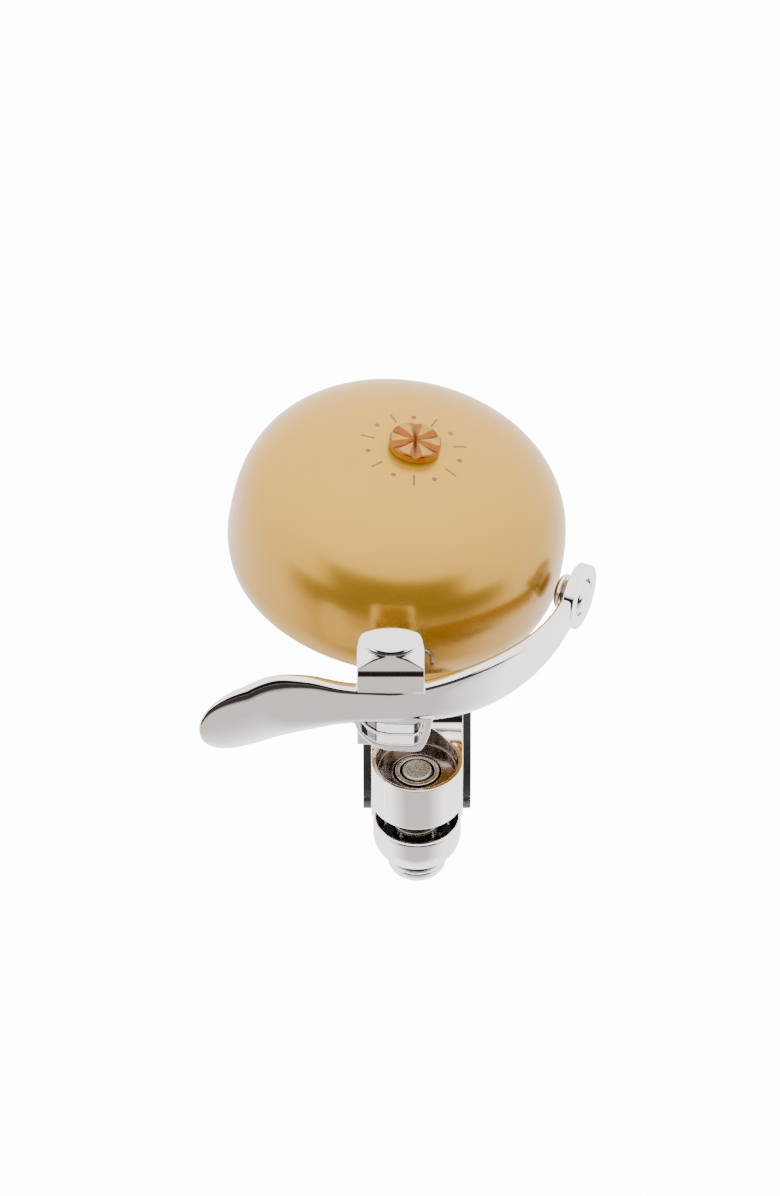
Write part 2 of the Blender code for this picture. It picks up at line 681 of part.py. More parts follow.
def make_clamp_upper():
    px = PIVOT[0]
    upper = slab("clamp_upper", half_disc(BAND_OUT, BARREL_BOTTOM, SPLIT_REAR, 1), -BAND_HALF, BAND_HALF,
                 "YZ")
    barrel = rod("barrel", (0, BOLT_Y, BARREL_BOTTOM), (0, BOLT_Y, BARREL_TOP), BARREL_R, 48)
    shoulder = 10.5
    hollow = 15.0 - shoulder
    outline = [(BOLT_Y, BARREL_BOTTOM + 0.1), (BOLT_Y, shoulder)]
    outline += arc((PAD_FRONT - hollow, 15.0), hollow, -90, 0, 9)
    outline += [(PAD_FRONT, PAD_TOP), (PAD_BACK, PAD_TOP), (PAD_BACK, 8.5), (-11.0, BARREL_BOTTOM + 0.1)]
    pad = slab("pad", outline, -PAD_HALF, PAD_HALF, "YZ")
    add(upper, barrel, pad)
    cut(upper,
        rod("bar_bore_upper", (-12, 0, 0), (12, 0, 0), BAND_IN, 64),
        rod("bolt_pocket", (0, BOLT_Y, POCKET_FLOOR), (0, BOLT_Y, PAD_TOP + 1), POCKET_R, 40),
        rod("nut_bore", (0, BOLT_Y, NUT_LOW - GAP), (0, BOLT_Y, POCKET_FLOOR + CUT), NUT_R + GAP, 28),
        rod("bolt_bore", (0, BOLT_Y, BARREL_BOTTOM - 1), (0, BOLT_Y, NUT_LOW), BOLT_R + GAP, 24),
        hinge_rod("relief_left", -BAND_HALF - 1, -HINGE_MID, HINGE_R + 0.35),
        hinge_rod("relief_right", HINGE_MID, BAND_HALF + 1, HINGE_R + 0.35))
    for index, y in enumerate(BASE_SCREW_YS):
        cut(upper, rod("pad_hole_%d" % index, (px, y, 13.0), (px, y, PAD_TOP + 1), BASE_SCREW_R + GAP, 20))
    add(upper, hinge_rod("knuckle_middle", -HINGE_MID + 0.05, HINGE_MID - 0.05, HINGE_R))
    cut(upper, hinge_rod("pin_hole_upper", -HINGE_MID - 1, HINGE_MID + 1, HINGE_PIN_R + GAP, 20))
    finish(upper, chrome)


def make_clamp_lower():
    lower = slab("clamp_lower", half_disc(BAND_OUT, CUP_TOP - 0.15, -SPLIT_REAR, -1), -BAND_HALF, BAND_HALF,
                 "YZ")
    cup = turned("cup", [
        (0, CUP_TOP), (CUP_R - 0.3, CUP_TOP), (CUP_R, CUP_TOP - 0.3), (CUP_R, CUP_TOP - 3.8),
        (CUP_R - 0.35, CUP_TOP - 5.3), (CUP_R - 1.2, CUP_TOP - 6.6), (CUP_R - 2.2, CUP_TOP - 7.4),
        (CUP_R - 2.9, CUP_BOTTOM), (0, CUP_BOTTOM)], segments=40)
    cup.location = Vector((0, BOLT_Y, 0)) * MM
    outline = [(BOLT_Y, CUP_TOP - 0.1), (-11.0, CUP_TOP - 0.1), (-8.3, -8.6), (-10.5, -8.9), (BOLT_Y, -8.3)]
    web = slab("cup_web", outline, -5.6, 5.6, "YZ")
    add(lower, cup, web)
    inner = CUP_R - 0.7
    chord = 42                # keeps the recess off the bar's bore
    recess_outline = arc((0, BOLT_Y), inner, chord, -180 - chord, 31)
    cut(lower,
        rod("bar_bore_lower", (-12, 0, 0), (12, 0, 0), BAND_IN, 64),
        slab("cup_recess", recess_outline, CUP_FLOOR, CUP_TOP + 1),
        rod("cup_bore", (0, BOLT_Y, CUP_BOTTOM - 1), (0, BOLT_Y, CUP_FLOOR + CUT), CUP_HOLE_R, 28),
        hinge_rod("relief_middle", -HINGE_MID - GAP, HINGE_MID + GAP, HINGE_R + 0.35))
    for side, name in ((-1, "left"), (1, "right")):
        start = side * (HINGE_MID + GAP)
        end = side * (BAND_HALF - 0.1)
        add(lower, hinge_rod("knuckle_" + name, start, end, HINGE_R))
        cut(lower, hinge_rod("pin_hole_" + name, start - side, end + side, HINGE_PIN_R + GAP, 20))
    finish(lower, chrome, hinge_axis)


def make_liner(name, start, end, parent=None):
    """Rubber strip round part of the bar; angles in degrees from -Y towards +Z."""
    outer = arc((0, 0), BAR_R + LINER_T, 180 - start, 180 - end, 33)
    inner = arc((0, 0), BAR_R, 180 - end, 180 - start, 33)
    liner = slab(name, outer + inner, -LINER_HALF, LINER_HALF, "YZ")
    return finish(liner, rubber, parent)


def make_bolt():
    bolt = turned("clamp_bolt", [
        (0, BOLT_END), (BOLT_R - 0.3, BOLT_END), (BOLT_R, BOLT_END - 0.3), (BOLT_R, KNOB_TOP),
        (KNOB_R - 0.3, KNOB_TOP), (KNOB_R, KNOB_TOP - 0.3), (KNOB_R, KNOB_TOP - 1.1),
        (KNOB_R - 0.5, KNOB_BOTTOM + 0.7), (KNOB_R - 1.6, KNOB_BOTTOM + 0.15), (0, KNOB_BOTTOM)],
        segments=40)
    finish(bolt, chrome, bolt_axis, in_place=False)
    slot = block("knob_slot", (-3.2, BOLT_Y - 0.6, KNOB_BOTTOM - 1), (3.2, BOLT_Y + 0.6, KNOB_BOTTOM + 1.0))
    cut(bolt, slot)
    washer = ring("bolt_washer", BOLT_R + GAP, 3.9, WASHER_TOP - WASHER_T, WASHER_TOP)
    finish(washer, steel, bolt_axis, in_place=False)
    nut = ring("clamp_nut", BOLT_R + GAP, NUT_R, NUT_LOW, POCKET_FLOOR + 0.2, 36)
    finish(nut, steel, bolt_axis, in_place=False)

    radius = 3.65
    low = -3.5
    high = BARREL_BOTTOM - 0.65
    turns = 3.5
    steps = int(turns * 12)
    points = []
    for i in range(steps + 1):
        a = math.tau * turns * i / steps
        points.append((radius * math.cos(a), BOLT_Y + radius * math.sin(a), low + (high - low) * i / steps))
    finish(wire("gap_spring", points, 0.35), spring_steel)


def make_hinge_pin():
    pin = hinge_rod("hinge_pin", -BAND_HALF + 0.2, BAND_HALF - 0.2, HINGE_PIN_R, 20)
    finish(pin, steel)


def move_to_datum():
    """Shifts every piece and cutter, so that the origin is on the clamp's right side."""
    shift = Vector((-PAD_HALF, 0.0, -MOUNT_Z)) * MM
    for obj in list(parts.objects) + list(cutters.objects):
        if obj.parent is None:
            obj.location += shift


# ---------------------------------------------------------------- assembly

clear_scene()
parts = new_collection(PARTS_NAME)
cutters = new_collection("cutters")

brass = new_material("polished_brass", (0.83, 0.60, 0.24), 1.0, 0.08)
copper = new_material("copper_screw", (0.72, 0.38, 0.18), 1.0, 0.3)
chrome = new_material("bright_chrome", (0.82, 0.80, 0.79), 1.0, 0.05)
steel = new_material("zinc_steel", (0.55, 0.54, 0.52), 1.0, 0.3)
spring_steel = new_material("spring_steel", (0.35, 0.33, 0.31), 1.0, 0.35)
bronze = new_material("bearing_bronze", (0.55, 0.36, 0.16), 1.0, 0.4)
rubber = new_material("black_rubber", (0.012, 0.012, 0.012), 0.0, 0.6)
nylon = new_material("white_nylon", (0.8, 0.8, 0.76), 0.0, 0.5)
fibre = new_material("red_fibre", (0.3, 0.06, 0.04), 0.0, 0.8)

dome_axis = empty_at("dome_axis", DOME_CENTRE, (0, DOME_LEAN, 0))
hammer_axis = empty_at("hammer_axis", (DOME_CENTRE[0], DOME_CENTRE[1], HAMMER_Z), (0, 90, HAMMER_TURN))
lever_axis = empty_at("lever_axis", (*PIVOT, 0.0))
hinge_axis = empty_at("hinge_axis", (0.0, HINGE_Y, 0.0))
bolt_axis = empty_at("bolt_axis", (0.0, BOLT_Y, 0.0))

make_dome()
make_bracket()
make_lever()
make_hammer()
make_clamp_upper()
make_clamp_lower()
make_liner("liner_upper", LINER_END_UPPER, 178)
make_liner("liner_lower", LINER_END_LOWER, -178, hinge_axis)
make_bolt()
make_hinge_pin()
move_to_datum()
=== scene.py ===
"""Looks of the bicycle bell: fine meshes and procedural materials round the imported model."""

import json
import math

import bmesh
import bpy
import numpy as np
from mathutils import Matrix, Vector


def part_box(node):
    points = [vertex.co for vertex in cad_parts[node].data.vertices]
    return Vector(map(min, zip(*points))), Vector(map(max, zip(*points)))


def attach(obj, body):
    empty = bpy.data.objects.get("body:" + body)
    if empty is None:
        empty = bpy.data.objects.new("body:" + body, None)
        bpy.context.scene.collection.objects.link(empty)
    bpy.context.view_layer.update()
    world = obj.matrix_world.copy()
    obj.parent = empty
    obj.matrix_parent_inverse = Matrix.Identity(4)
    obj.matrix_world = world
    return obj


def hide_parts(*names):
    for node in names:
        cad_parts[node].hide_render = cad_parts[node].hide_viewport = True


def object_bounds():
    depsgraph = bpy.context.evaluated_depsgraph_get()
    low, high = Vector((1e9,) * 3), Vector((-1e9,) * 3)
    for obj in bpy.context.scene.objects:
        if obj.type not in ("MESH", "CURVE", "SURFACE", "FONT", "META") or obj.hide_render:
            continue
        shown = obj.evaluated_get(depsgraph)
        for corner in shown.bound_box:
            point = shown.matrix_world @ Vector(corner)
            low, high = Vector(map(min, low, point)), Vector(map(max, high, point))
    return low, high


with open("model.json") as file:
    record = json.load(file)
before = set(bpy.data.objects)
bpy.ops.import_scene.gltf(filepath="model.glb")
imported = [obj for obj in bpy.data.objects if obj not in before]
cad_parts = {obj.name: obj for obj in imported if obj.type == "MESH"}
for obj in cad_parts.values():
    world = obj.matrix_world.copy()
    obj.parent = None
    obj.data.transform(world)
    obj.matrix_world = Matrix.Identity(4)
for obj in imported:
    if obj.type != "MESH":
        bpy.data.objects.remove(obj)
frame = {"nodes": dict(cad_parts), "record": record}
cad_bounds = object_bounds()

MM = 0.001
GAP = 0.3            # clearance between pieces, mm


# ---------------------------------------------------------------- places, read from the frame

BAR_OPENING = np.array(frame["record"]["physics"]["openings"][0]["box_m"])
DATUM = BAR_OPENING.mean(axis=0) / MM     # the handlebar's axis at the middle of the clamp


def box_mm(node):
    """A node's box in millimetres, counted from the middle of the handlebar bore."""
    low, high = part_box(node)
    return np.array(low) / MM - DATUM, np.array(high) / MM - DATUM


def centre_mm(node):
    low, high = box_mm(node)
    return (low + high) / 2


def joint_data(name):
    for joint in frame["record"]["behaviour"]["joints"]:
        if joint["name"] == name:
            return joint
    raise KeyError(name)


PIVOT = np.array(joint_data("lever_pivot")["pos_m"])[:2] / MM - DATUM[:2]
HINGE_Y = joint_data("clamp_hinge")["pos_m"][1] / MM - DATUM[1]
BOLT_Y = joint_data("bolt_turn")["pos_m"][1] / MM - DATUM[1]
HAMMER_DIR = Vector(joint_data("hammer_slide")["axis"]).normalized()

LEVER_LOW, LEVER_HIGH = box_mm("lever")
LINER_T = 0.8
LINER_HALF, _, LINER_OUT = box_mm("liner_upper")[1]
BAR_R = LINER_OUT - LINER_T
BAND_T = 0.9
BAND_LOW, BAND_HIGH = box_mm("clamp_lower")
BAND_HALF = BAND_HIGH[0]
BAND_OUT = -BAND_LOW[2]
BAND_IN = BAND_OUT - BAND_T
PAD_TOP = box_mm("clamp_upper")[1][2]
CUP_TOP = -1.7
CUP_BOTTOM = -9.4

DOME_BASE = centre_mm("post_washer")
DOME_UP = Vector(centre_mm("dome_washer") - DOME_BASE).normalized()
POST_WASHER_Z = -6.6           # the washer's height on the dome's own axis
DOME_CENTRE = DOME_BASE - np.array(DOME_UP) * POST_WASHER_Z
DOME_LEAN = math.atan2(DOME_UP.x, DOME_UP.z)


def turn_frame(origin, axis):
    """Matrix whose Z runs along an axis, with its origin in millimetres."""
    turn = Vector(axis).to_track_quat("Z", "Y").to_matrix().to_4x4()
    return Matrix.Translation(Vector(origin) * MM) @ turn


DOME_FRAME = Matrix.Translation(Vector(DOME_CENTRE) * MM) @ Matrix.Rotation(DOME_LEAN, 4, "Y")
EYE_CENTRE = centre_mm("striker_cap")
HAMMER_FOOT = Vector((DOME_CENTRE[0], DOME_CENTRE[1], EYE_CENTRE[2]))
HAMMER_FRAME = turn_frame(HAMMER_FOOT, HAMMER_DIR)
BOLT_FRAME = Matrix.Translation((0.0, BOLT_Y * MM, 0.0))


# ---------------------------------------------------------------- mesh helpers

def new_object(name, bm):
    bmesh.ops.recalc_face_normals(bm, faces=bm.faces)
    mesh = bpy.data.meshes.new(name)
    bm.to_mesh(mesh)
    bm.free()
    obj = bpy.data.objects.new(name, mesh)
    bpy.context.scene.collection.objects.link(obj)
    return obj


def remove(obj):
    mesh = obj.data
    bpy.data.objects.remove(obj, do_unlink=True)
    if mesh.users == 0:
        bpy.data.meshes.remove(mesh)


def arc(centre, radius, start, end, count):
    angles = np.radians(np.linspace(start, end, count))
    return [(centre[0] + radius * math.cos(a), centre[1] + radius * math.sin(a)) for a in angles]


def round_corners(profile, radius, steps=5):
    """Replaces each inner corner of an open (r, z) profile with a small curve."""
    points = [Vector(p) for p in profile]
    result = [tuple(points[0])]
    for before, corner, after in zip(points, points[1:], points[2:]):
        a = before - corner
        b = after - corner
        reach = min(radius, a.length * 0.45, b.length * 0.45)
        start = corner + a.normalized() * reach
        end = corner + b.normalized() * reach
        for i in range(steps + 1):
            t = i / steps
            result.append(tuple(start * (1 - t) ** 2 + corner * 2 * t * (1 - t) + end * t * t))
    result.append(tuple(points[-1]))
    return result


def turned(name, profile, place=Matrix(), closed=False, segments=128):
    """Solid of revolution from an (r, z) profile; r = 0 ends close on the axis."""
    bm = bmesh.new()
    columns = []
    on_axis = {}
    for index, (r, z) in enumerate(profile):
        if r < 1e-6:
            on_axis[index] = bm.verts.new((0, 0, z * MM))
    for s in range(segments):
        a = math.tau * s / segments
        column = []
        for index, (r, z) in enumerate(profile):
            if index in on_axis:
                column.append(on_axis[index])
            else:
                column.append(bm.verts.new((r * math.cos(a) * MM, r * math.sin(a) * MM, z * MM)))
        columns.append(column)
    last = len(profile) if closed else len(profile) - 1
    for s in range(segments):
        here = columns[s]
        there = columns[(s + 1) % segments]
        for i in range(last):
            j = (i + 1) % len(profile)
            corners = []
            for vert in (here[i], here[j], there[j], there[i]):
                if vert not in corners:
                    corners.append(vert)
            if len(corners) > 2:
                bm.faces.new(corners)
    bmesh.ops.transform(bm, matrix=place, verts=bm.verts)
    return new_object(name, bm)


def ring_piece(name, inner, outer, low, high, place, edge):
    profile = [(outer, (low + high) / 2), (outer, low), (inner, low), (inner, high), (outer, high),
               (outer, (low + high) / 2)]
    rounded = round_corners(profile, edge, 3)[:-1]
    return turned(name, rounded, place, closed=True, segments=96)


PLANES = {
    "XY": Matrix(((1, 0, 0), (0, 1, 0), (0, 0, 1))).to_4x4(),
    "YZ": Matrix(((0, 0, 1), (1, 0, 0), (0, 1, 0))).to_4x4(),
    "XZ": Matrix(((1, 0, 0), (0, 0, -1), (0, 1, 0))).to_4x4(),
}


def slab(name, outline, low, high, plane="XY"):
    """Prism on a flat outline, from low to high along the plane's normal."""
    bm = bmesh.new()
    bottom = [bm.verts.new((u * MM, v * MM, low * MM)) for u, v in outline]
    top = [bm.verts.new((u * MM, v * MM, high * MM)) for u, v in outline]
    count = len(outline)
    for i in range(count):
        j = (i + 1) % count
        bm.faces.new((bottom[i], bottom[j], top[j], top[i]))
    ends = [bm.faces.new(bottom[::-1]), bm.faces.new(top)]
    bmesh.ops.triangulate(bm, faces=ends)
    bmesh.ops.transform(bm, matrix=PLANES[plane], verts=bm.verts)
    return new_object(name, bm)


def rod(name, start, end, radius, segments=96, place=Matrix()):
    start = place @ (Vector(start) * MM)
    end = place @ (Vector(end) * MM)
    along = end - start
    turn = along.to_track_quat("Z", "Y").to_matrix().to_4x4()
    bm = bmesh.new()
    bmesh.ops.create_cone(bm, cap_ends=True, segments=segments, radius1=radius * MM,
                          radius2=radius * MM, depth=along.length,
                          matrix=Matrix.Translation((start + end) / 2) @ turn)
    return new_object(name, bm)


def block(name, low, high):
    bm = bmesh.new()
    bmesh.ops.create_cube(bm, size=1.0)
    low = Vector(low) * MM
    high = Vector(high) * MM
    bmesh.ops.scale(bm, vec=high - low, verts=bm.verts)
    bmesh.ops.translate(bm, vec=(low + high) / 2, verts=bm.verts)
    return new_object(name, bm)


def bake_modifiers(obj):
    """Applies an object's modifiers to its mesh."""
    bpy.context.view_layer.update()
    evaluated = obj.evaluated_get(bpy.context.evaluated_depsgraph_get())
    mesh = bpy.data.meshes.new_from_object(evaluated)
    old = obj.data
    obj.modifiers.clear()
    obj.data = mesh
    bpy.data.meshes.remove(old)
    return obj


def combine(obj, others, operation):
    for other in others:
        modifier = obj.modifiers.new("combine", "BOOLEAN")
        modifier.operation = operation
        modifier.solver = "EXACT"
        modifier.object = other
        bake_modifiers(obj)
        remove(other)
    return obj


def soften(obj, voxel, rounds):
    """Fine even mesh whose edges are slightly rounded, like a polished casting."""
    remesh = obj.modifiers.new("remesh", "REMESH")
    remesh.mode = "VOXEL"
    remesh.voxel_size = voxel * MM
    remesh.adaptivity = 0.0
    smooth = obj.modifiers.new("smooth", "SMOOTH")
    smooth.factor = 0.5
    smooth.iterations = rounds
    bake_modifiers(obj)
    obj.data.shade_smooth()
    return obj


def shade(obj, angle=30):
    obj.data.shade_smooth()
    obj.data.set_sharp_from_angle(angle=math.radians(angle))
    return obj


WIRE_BEVEL = 4        # steps in a quarter of the wire's round section
WIRE_SAMPLES = 6      # steps between two points of its path


def wire(name, points, radius):
    """Round wire along a smooth path through a list of points in millimetres."""
    curve = bpy.data.curves.new(name, "CURVE")
    curve.dimensions = "3D"
    curve.bevel_depth = radius * MM
    curve.bevel_resolution = WIRE_BEVEL
    curve.use_fill_caps = True
    spline = curve.splines.new("POLY")
    path = [Vector(p) for p in points]
    fine = []
    for i in range(len(path) - 1):
        p0 = path[max(i - 1, 0)]
        p1 = path[i]
        p2 = path[i + 1]
        p3 = path[min(i + 2, len(path) - 1)]
        for k in range(WIRE_SAMPLES):
            t = k / WIRE_SAMPLES
            fine.append(0.5 * (2 * p1 + (p2 - p0) * t + (2 * p0 - 5 * p1 + 4 * p2 - p3) * t * t
                               + (3 * p1 - p0 - 3 * p2 + p3) * t ** 3))
    fine.append(path[-1])
    spline.points.add(len(fine) - 1)
    for point, co in zip(spline.points, fine):
        point.co = (*(co * MM), 1.0)
    obj = bpy.data.objects.new(name + "_path", curve)
    bpy.context.scene.collection.objects.link(obj)
    bpy.context.view_layer.update()
    evaluated = obj.evaluated_get(bpy.context.evaluated_depsgraph_get())
    mesh = bpy.data.meshes.new_from_object(evaluated)
    bpy.data.objects.remove(obj, do_unlink=True)
    bm = bmesh.new()
    bm.from_mesh(mesh)
    bpy.data.meshes.remove(mesh)
    bmesh.ops.remove_doubles(bm, verts=bm.verts, dist=1e-6)
    return shade(new_object(name, bm), 40)


def coil(radius, low, high, turns, steps, start=0.0):
    """Points of a helix round the Z axis, in millimetres; start is its first angle in degrees."""
    points = []
    for i in range(steps + 1):
        a = math.radians(start) + math.tau * turns * i / steps
        points.append((radius * math.cos(a), radius * math.sin(a), low + (high - low) * i / steps))
    return points


# ---------------------------------------------------------------- materials

def blank_material(name):
    material = bpy.data.materials.new(name)
    material.use_nodes = True
    tree = material.node_tree
    shader = tree.nodes["Principled BSDF"]
    place = tree.nodes.new("ShaderNodeTexCoord")
    return material, tree, shader, place.outputs["Object"]


def noise(tree, coords, scale, detail=4.0, rough=0.55, stretch=(1, 1, 1)):
    mapping = tree.nodes.new("ShaderNodeMapping")
    mapping.inputs["Scale"].default_value = stretch
    tree.links.new(coords, mapping.inputs["Vector"])
    texture = tree.nodes.new("ShaderNodeTexNoise")
    texture.inputs["Scale"].default_value = scale
    texture.inputs["Detail"].default_value = detail
    texture.inputs["Roughness"].default_value = rough
    tree.links.new(mapping.outputs["Vector"], texture.inputs["Vector"])
    return texture.outputs["Fac"]


def remap(tree, value, low, high, out_low, out_high):
    node = tree.nodes.new("ShaderNodeMapRange")
    node.inputs["From Min"].default_value = low
    node.inputs["From Max"].default_value = high
    node.inputs["To Min"].default_value = out_low
    node.inputs["To Max"].default_value = out_high
    tree.links.new(value, node.inputs["Value"])
    return node.outputs["Result"]


def mix_colours(tree, factor, first, second):
    node = tree.nodes.new("ShaderNodeMix")
    node.data_type = "RGBA"
    tree.links.new(factor, node.inputs["Factor"])
    for socket, colour in ((node.inputs[6], first), (node.inputs[7], second)):
        if hasattr(colour, "is_linked"):
            tree.links.new(colour, socket)
        else:
            socket.default_value = (*colour, 1.0)
    return node.outputs[2]


def multiply(tree, first, second):
    node = tree.nodes.new("ShaderNodeMath")
    node.operation = "MULTIPLY"
    tree.links.new(first, node.inputs[0])
    tree.links.new(second, node.inputs[1])
    return node.outputs[0]


def add_bump(tree, shader, height, distance):
    bump = tree.nodes.new("ShaderNodeBump")
    bump.inputs["Distance"].default_value = distance
    bump.inputs["Strength"].default_value = 1.0
    tree.links.new(height, bump.inputs["Height"])
    tree.links.new(bump.outputs["Normal"], shader.inputs["Normal"])


def edge_wear(tree):
    """Factor near 1 on convex edges, for wear."""
    geometry = tree.nodes.new("ShaderNodeNewGeometry")
    return remap(tree, geometry.outputs["Pointiness"], 0.53, 0.62, 0.0, 1.0)


def metal(name, light, dark, rough, rough_spread, patch_scale, grain_scale, grain_depth,
          stretch=(1, 1, 1), wear=None):
    """Metal with cloudy colour, uneven polish, fine grain in the surface and worn edges."""
    material, tree, shader, coords = blank_material(name)
    cloud = noise(tree, coords, patch_scale, 5.0)
    colour = mix_colours(tree, remap(tree, cloud, 0.3, 0.7, 0.0, 1.0), light, dark)
    if wear is not None:
        colour = mix_colours(tree, edge_wear(tree), colour, wear)
    tree.links.new(colour, shader.inputs["Base Color"])
    shader.inputs["Metallic"].default_value = 1.0
    polish = noise(tree, coords, patch_scale * 3.3, 6.0, 0.6)
    tree.links.new(remap(tree, polish, 0.35, 0.75, rough, rough + rough_spread),
                   shader.inputs["Roughness"])
    grain = noise(tree, coords, grain_scale, 3.0, 0.5, stretch)
    add_bump(tree, shader, grain, grain_depth * MM)
    return material


# Painted reflection on the brass: the darker colour low on the dome is painted shade, the paler colour at
# the crown is a painted highlight.
BRASS_PAINTED_SHADE = (0.38, 0.19, 0.012)
BRASS_PAINTED_HIGHLIGHT = (0.48, 0.26, 0.022)
BRASS_CLOUD = (0.43, 0.225, 0.016)
BRASS_METALLIC = 0.65

BRASS_HIGHLIGHT_RISE = 21.0        # height over which the painted highlight turns the brass paler, mm
TURNING_SCALE = 2600.0
TURNING_DEPTH = 0.00012


def dome_brass():
    """Polished brass with painted light: darker low down and paler towards the crown as a painted
    reflection, with faint turning lines under the lacquer.
    """
    material, tree, shader, coords = blank_material("polished_brass")
    split = tree.nodes.new("ShaderNodeSeparateXYZ")
    tree.links.new(coords, split.inputs["Vector"])
    low = (DOME_CENTRE[2] + DATUM[2]) * MM
    height = remap(tree, split.outputs["Z"], low, low + BRASS_HIGHLIGHT_RISE * MM, 0.0, 1.0)
    # painted light: the colour runs from the painted shade low down to the painted highlight at the crown
    base = mix_colours(tree, height, BRASS_PAINTED_SHADE, BRASS_PAINTED_HIGHLIGHT)
    cloud = remap(tree, noise(tree, coords, 90.0, 5.0), 0.3, 0.7, 0.0, 0.35)
    colour = mix_colours(tree, cloud, base, BRASS_CLOUD)
    tree.links.new(colour, shader.inputs["Base Color"])
    shader.inputs["Metallic"].default_value = BRASS_METALLIC
    smudge = noise(tree, coords, 160.0, 6.0, 0.65)
    tree.links.new(remap(tree, smudge, 0.35, 0.75, 0.24, 0.28), shader.inputs["Roughness"])
    shader.inputs["Coat Weight"].default_value = 0.12
    shader.inputs["Coat Roughness"].default_value = 0.02
    wave = tree.nodes.new("ShaderNodeTexWave")
    wave.wave_type = "RINGS"
    wave.rings_direction = "Z"
    wave.inputs["Scale"].default_value = TURNING_SCALE
    wave.inputs["Distortion"].default_value = 0.6
    wave.inputs["Detail"].default_value = 2.0
    centre = tree.nodes.new("ShaderNodeMapping")
    axis = -(DOME_CENTRE + DATUM) * MM
    centre.inputs["Location"].default_value = (axis[0], axis[1], 0.0)
    tree.links.new(coords, centre.inputs["Vector"])
    tree.links.new(centre.outputs["Vector"], wave.inputs["Vector"])
    add_bump(tree, shader, wave.outputs["Fac"], TURNING_DEPTH * MM)
    return material


def soft_material(name, light, dark, rough, scale, depth, sheen=0.0):
    """Rubber, nylon or fibre: mottled colour, uneven roughness and a moulded surface."""
    material, tree, shader, coords = blank_material(name)
    cloud = noise(tree, coords, scale * 0.3, 4.0)
    tree.links.new(mix_colours(tree, remap(tree, cloud, 0.3, 0.7, 0.0, 1.0), light, dark),
                   shader.inputs["Base Color"])
    fine = noise(tree, coords, scale, 6.0, 0.7)
    tree.links.new(remap(tree, fine, 0.3, 0.7, rough - 0.1, rough + 0.1), shader.inputs["Roughness"])
    shader.inputs["Sheen Weight"].default_value = sheen
    shader.inputs["Specular IOR Level"].default_value = 0.2
    add_bump(tree, shader, fine, depth * MM)
    return material


brass = dome_brass()
chrome = metal("bright_chrome", (0.87, 0.84, 0.825), (0.80, 0.77, 0.755), 0.025, 0.035, 140.0, 900.0,
               0.0004, wear=(0.93, 0.91, 0.90))
# Dark brown chrome painted on the faces inside the bolt pocket and the cup: painted shade in the recesses.
chrome_painted_shade = metal("shaded_chrome_inside", (0.34, 0.29, 0.26), (0.16, 0.13, 0.115), 0.10, 0.10, 300.0, 1800.0,
                    0.0008)
copper = metal("copper_screw", (0.46, 0.25, 0.05), (0.36, 0.18, 0.03), 0.20, 0.12, 500.0, 4000.0,
               0.002, wear=(0.58, 0.34, 0.09))
# Darker copper painted on the groove walls of the screw head: painted shade in the grooves.
copper_painted_groove_shade = metal("copper_painted_groove_shade", (0.30, 0.11, 0.025), (0.22, 0.07, 0.015), 0.30, 0.15, 700.0, 5000.0,
                      0.003)
steel = metal("zinc_steel", (0.52, 0.50, 0.47), (0.38, 0.36, 0.34), 0.20, 0.12, 400.0, 3000.0, 0.001,
              wear=(0.78, 0.77, 0.75))
bolt_end = metal("bolt_end_steel", (0.44, 0.46, 0.43), (0.33, 0.34, 0.32), 0.25, 0.12, 500.0, 3500.0,
                 0.0015, wear=(0.6, 0.6, 0.58))
spring_steel = metal("spring_steel", (0.30, 0.28, 0.26), (0.17, 0.15, 0.14), 0.28, 0.15, 700.0, 5000.0,
                     0.004, stretch=(1, 1, 5))
bronze = metal("bearing_bronze", (0.58, 0.38, 0.17), (0.38, 0.23, 0.09), 0.35, 0.2, 900.0, 6000.0, 0.01)
rubber = soft_material("black_rubber", (0.010, 0.010, 0.010), (0.018, 0.018, 0.017), 0.55, 2500.0, 0.01)
nylon = soft_material("white_nylon", (0.80, 0.80, 0.76), (0.70, 0.70, 0.66), 0.45, 1800.0, 0.004)
fibre = soft_material("red_fibre", (0.32, 0.07, 0.045), (0.20, 0.035, 0.025), 0.8, 3000.0, 0.02, 0.2)
engraving = soft_material("engraved_mark", (0.20, 0.09, 0.03), (0.13, 0.055, 0.02), 0.5, 3000.0, 0.004)


def dress(piece, material, body, slot, *nodes):
    """Gives a piece its material, place and body, and hides the CAD nodes that it stands for."""
    piece.data.transform(Matrix.Translation(Vector(DATUM) * MM))
    piece.data.materials.clear()
    piece.data.materials.append(material)
    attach(piece, body)
    if nodes:
        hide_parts(*nodes)
    return piece


# ---------------------------------------------------------------- dome

DOME_R = 27.5
DOME_H = 20.9
DOME_POWER = 3.0
DOME_RIM_R = 26.7
DOME_RIM_DROP = 4.0
DOME_T = 1.0
DOME_HOLE_R = 2.3
MARK_RING_R = 7.7
MARK_COUNT = 14
DOT_R = 0.42
DASH_HALF = 1.0
DASH_R = 0.17
MARK_PROUD = 0.02
MARK_SUNK = 0.15
HEAD_R = 4.25
HEAD_H = 1.6
SHANK_R = 1.9
SHANK_END = 13.5
GROOVE_DEPTH = 0.5
GROOVE_HALF = 0.28             # half width of a groove at the middle of the head
GROOVE_WIDENING = 0.2
GROOVE_TURN = 60.0             # degrees from one groove to the next


def dome_surface(r):
    return DOME_H * max(1 - (r / DOME_R) ** DOME_POWER, 0.0) ** (1 / DOME_POWER)


def dome_wall(radius, height, rim):
    start = math.acos((DOME_HOLE_R / radius) ** (DOME_POWER / 2))
    wall = []
    for a in np.linspace(start, 0.0, 110):
        wall.append((radius * max(math.cos(a), 0.0) ** (2 / DOME_POWER),
                     height * max(math.sin(a), 0.0) ** (2 / DOME_POWER)))
    for t in np.linspace(0.0, 1.0, 14)[1:]:
        wall.append((radius - (radius - rim) * t * t, -DOME_RIM_DROP * t))
    return wall


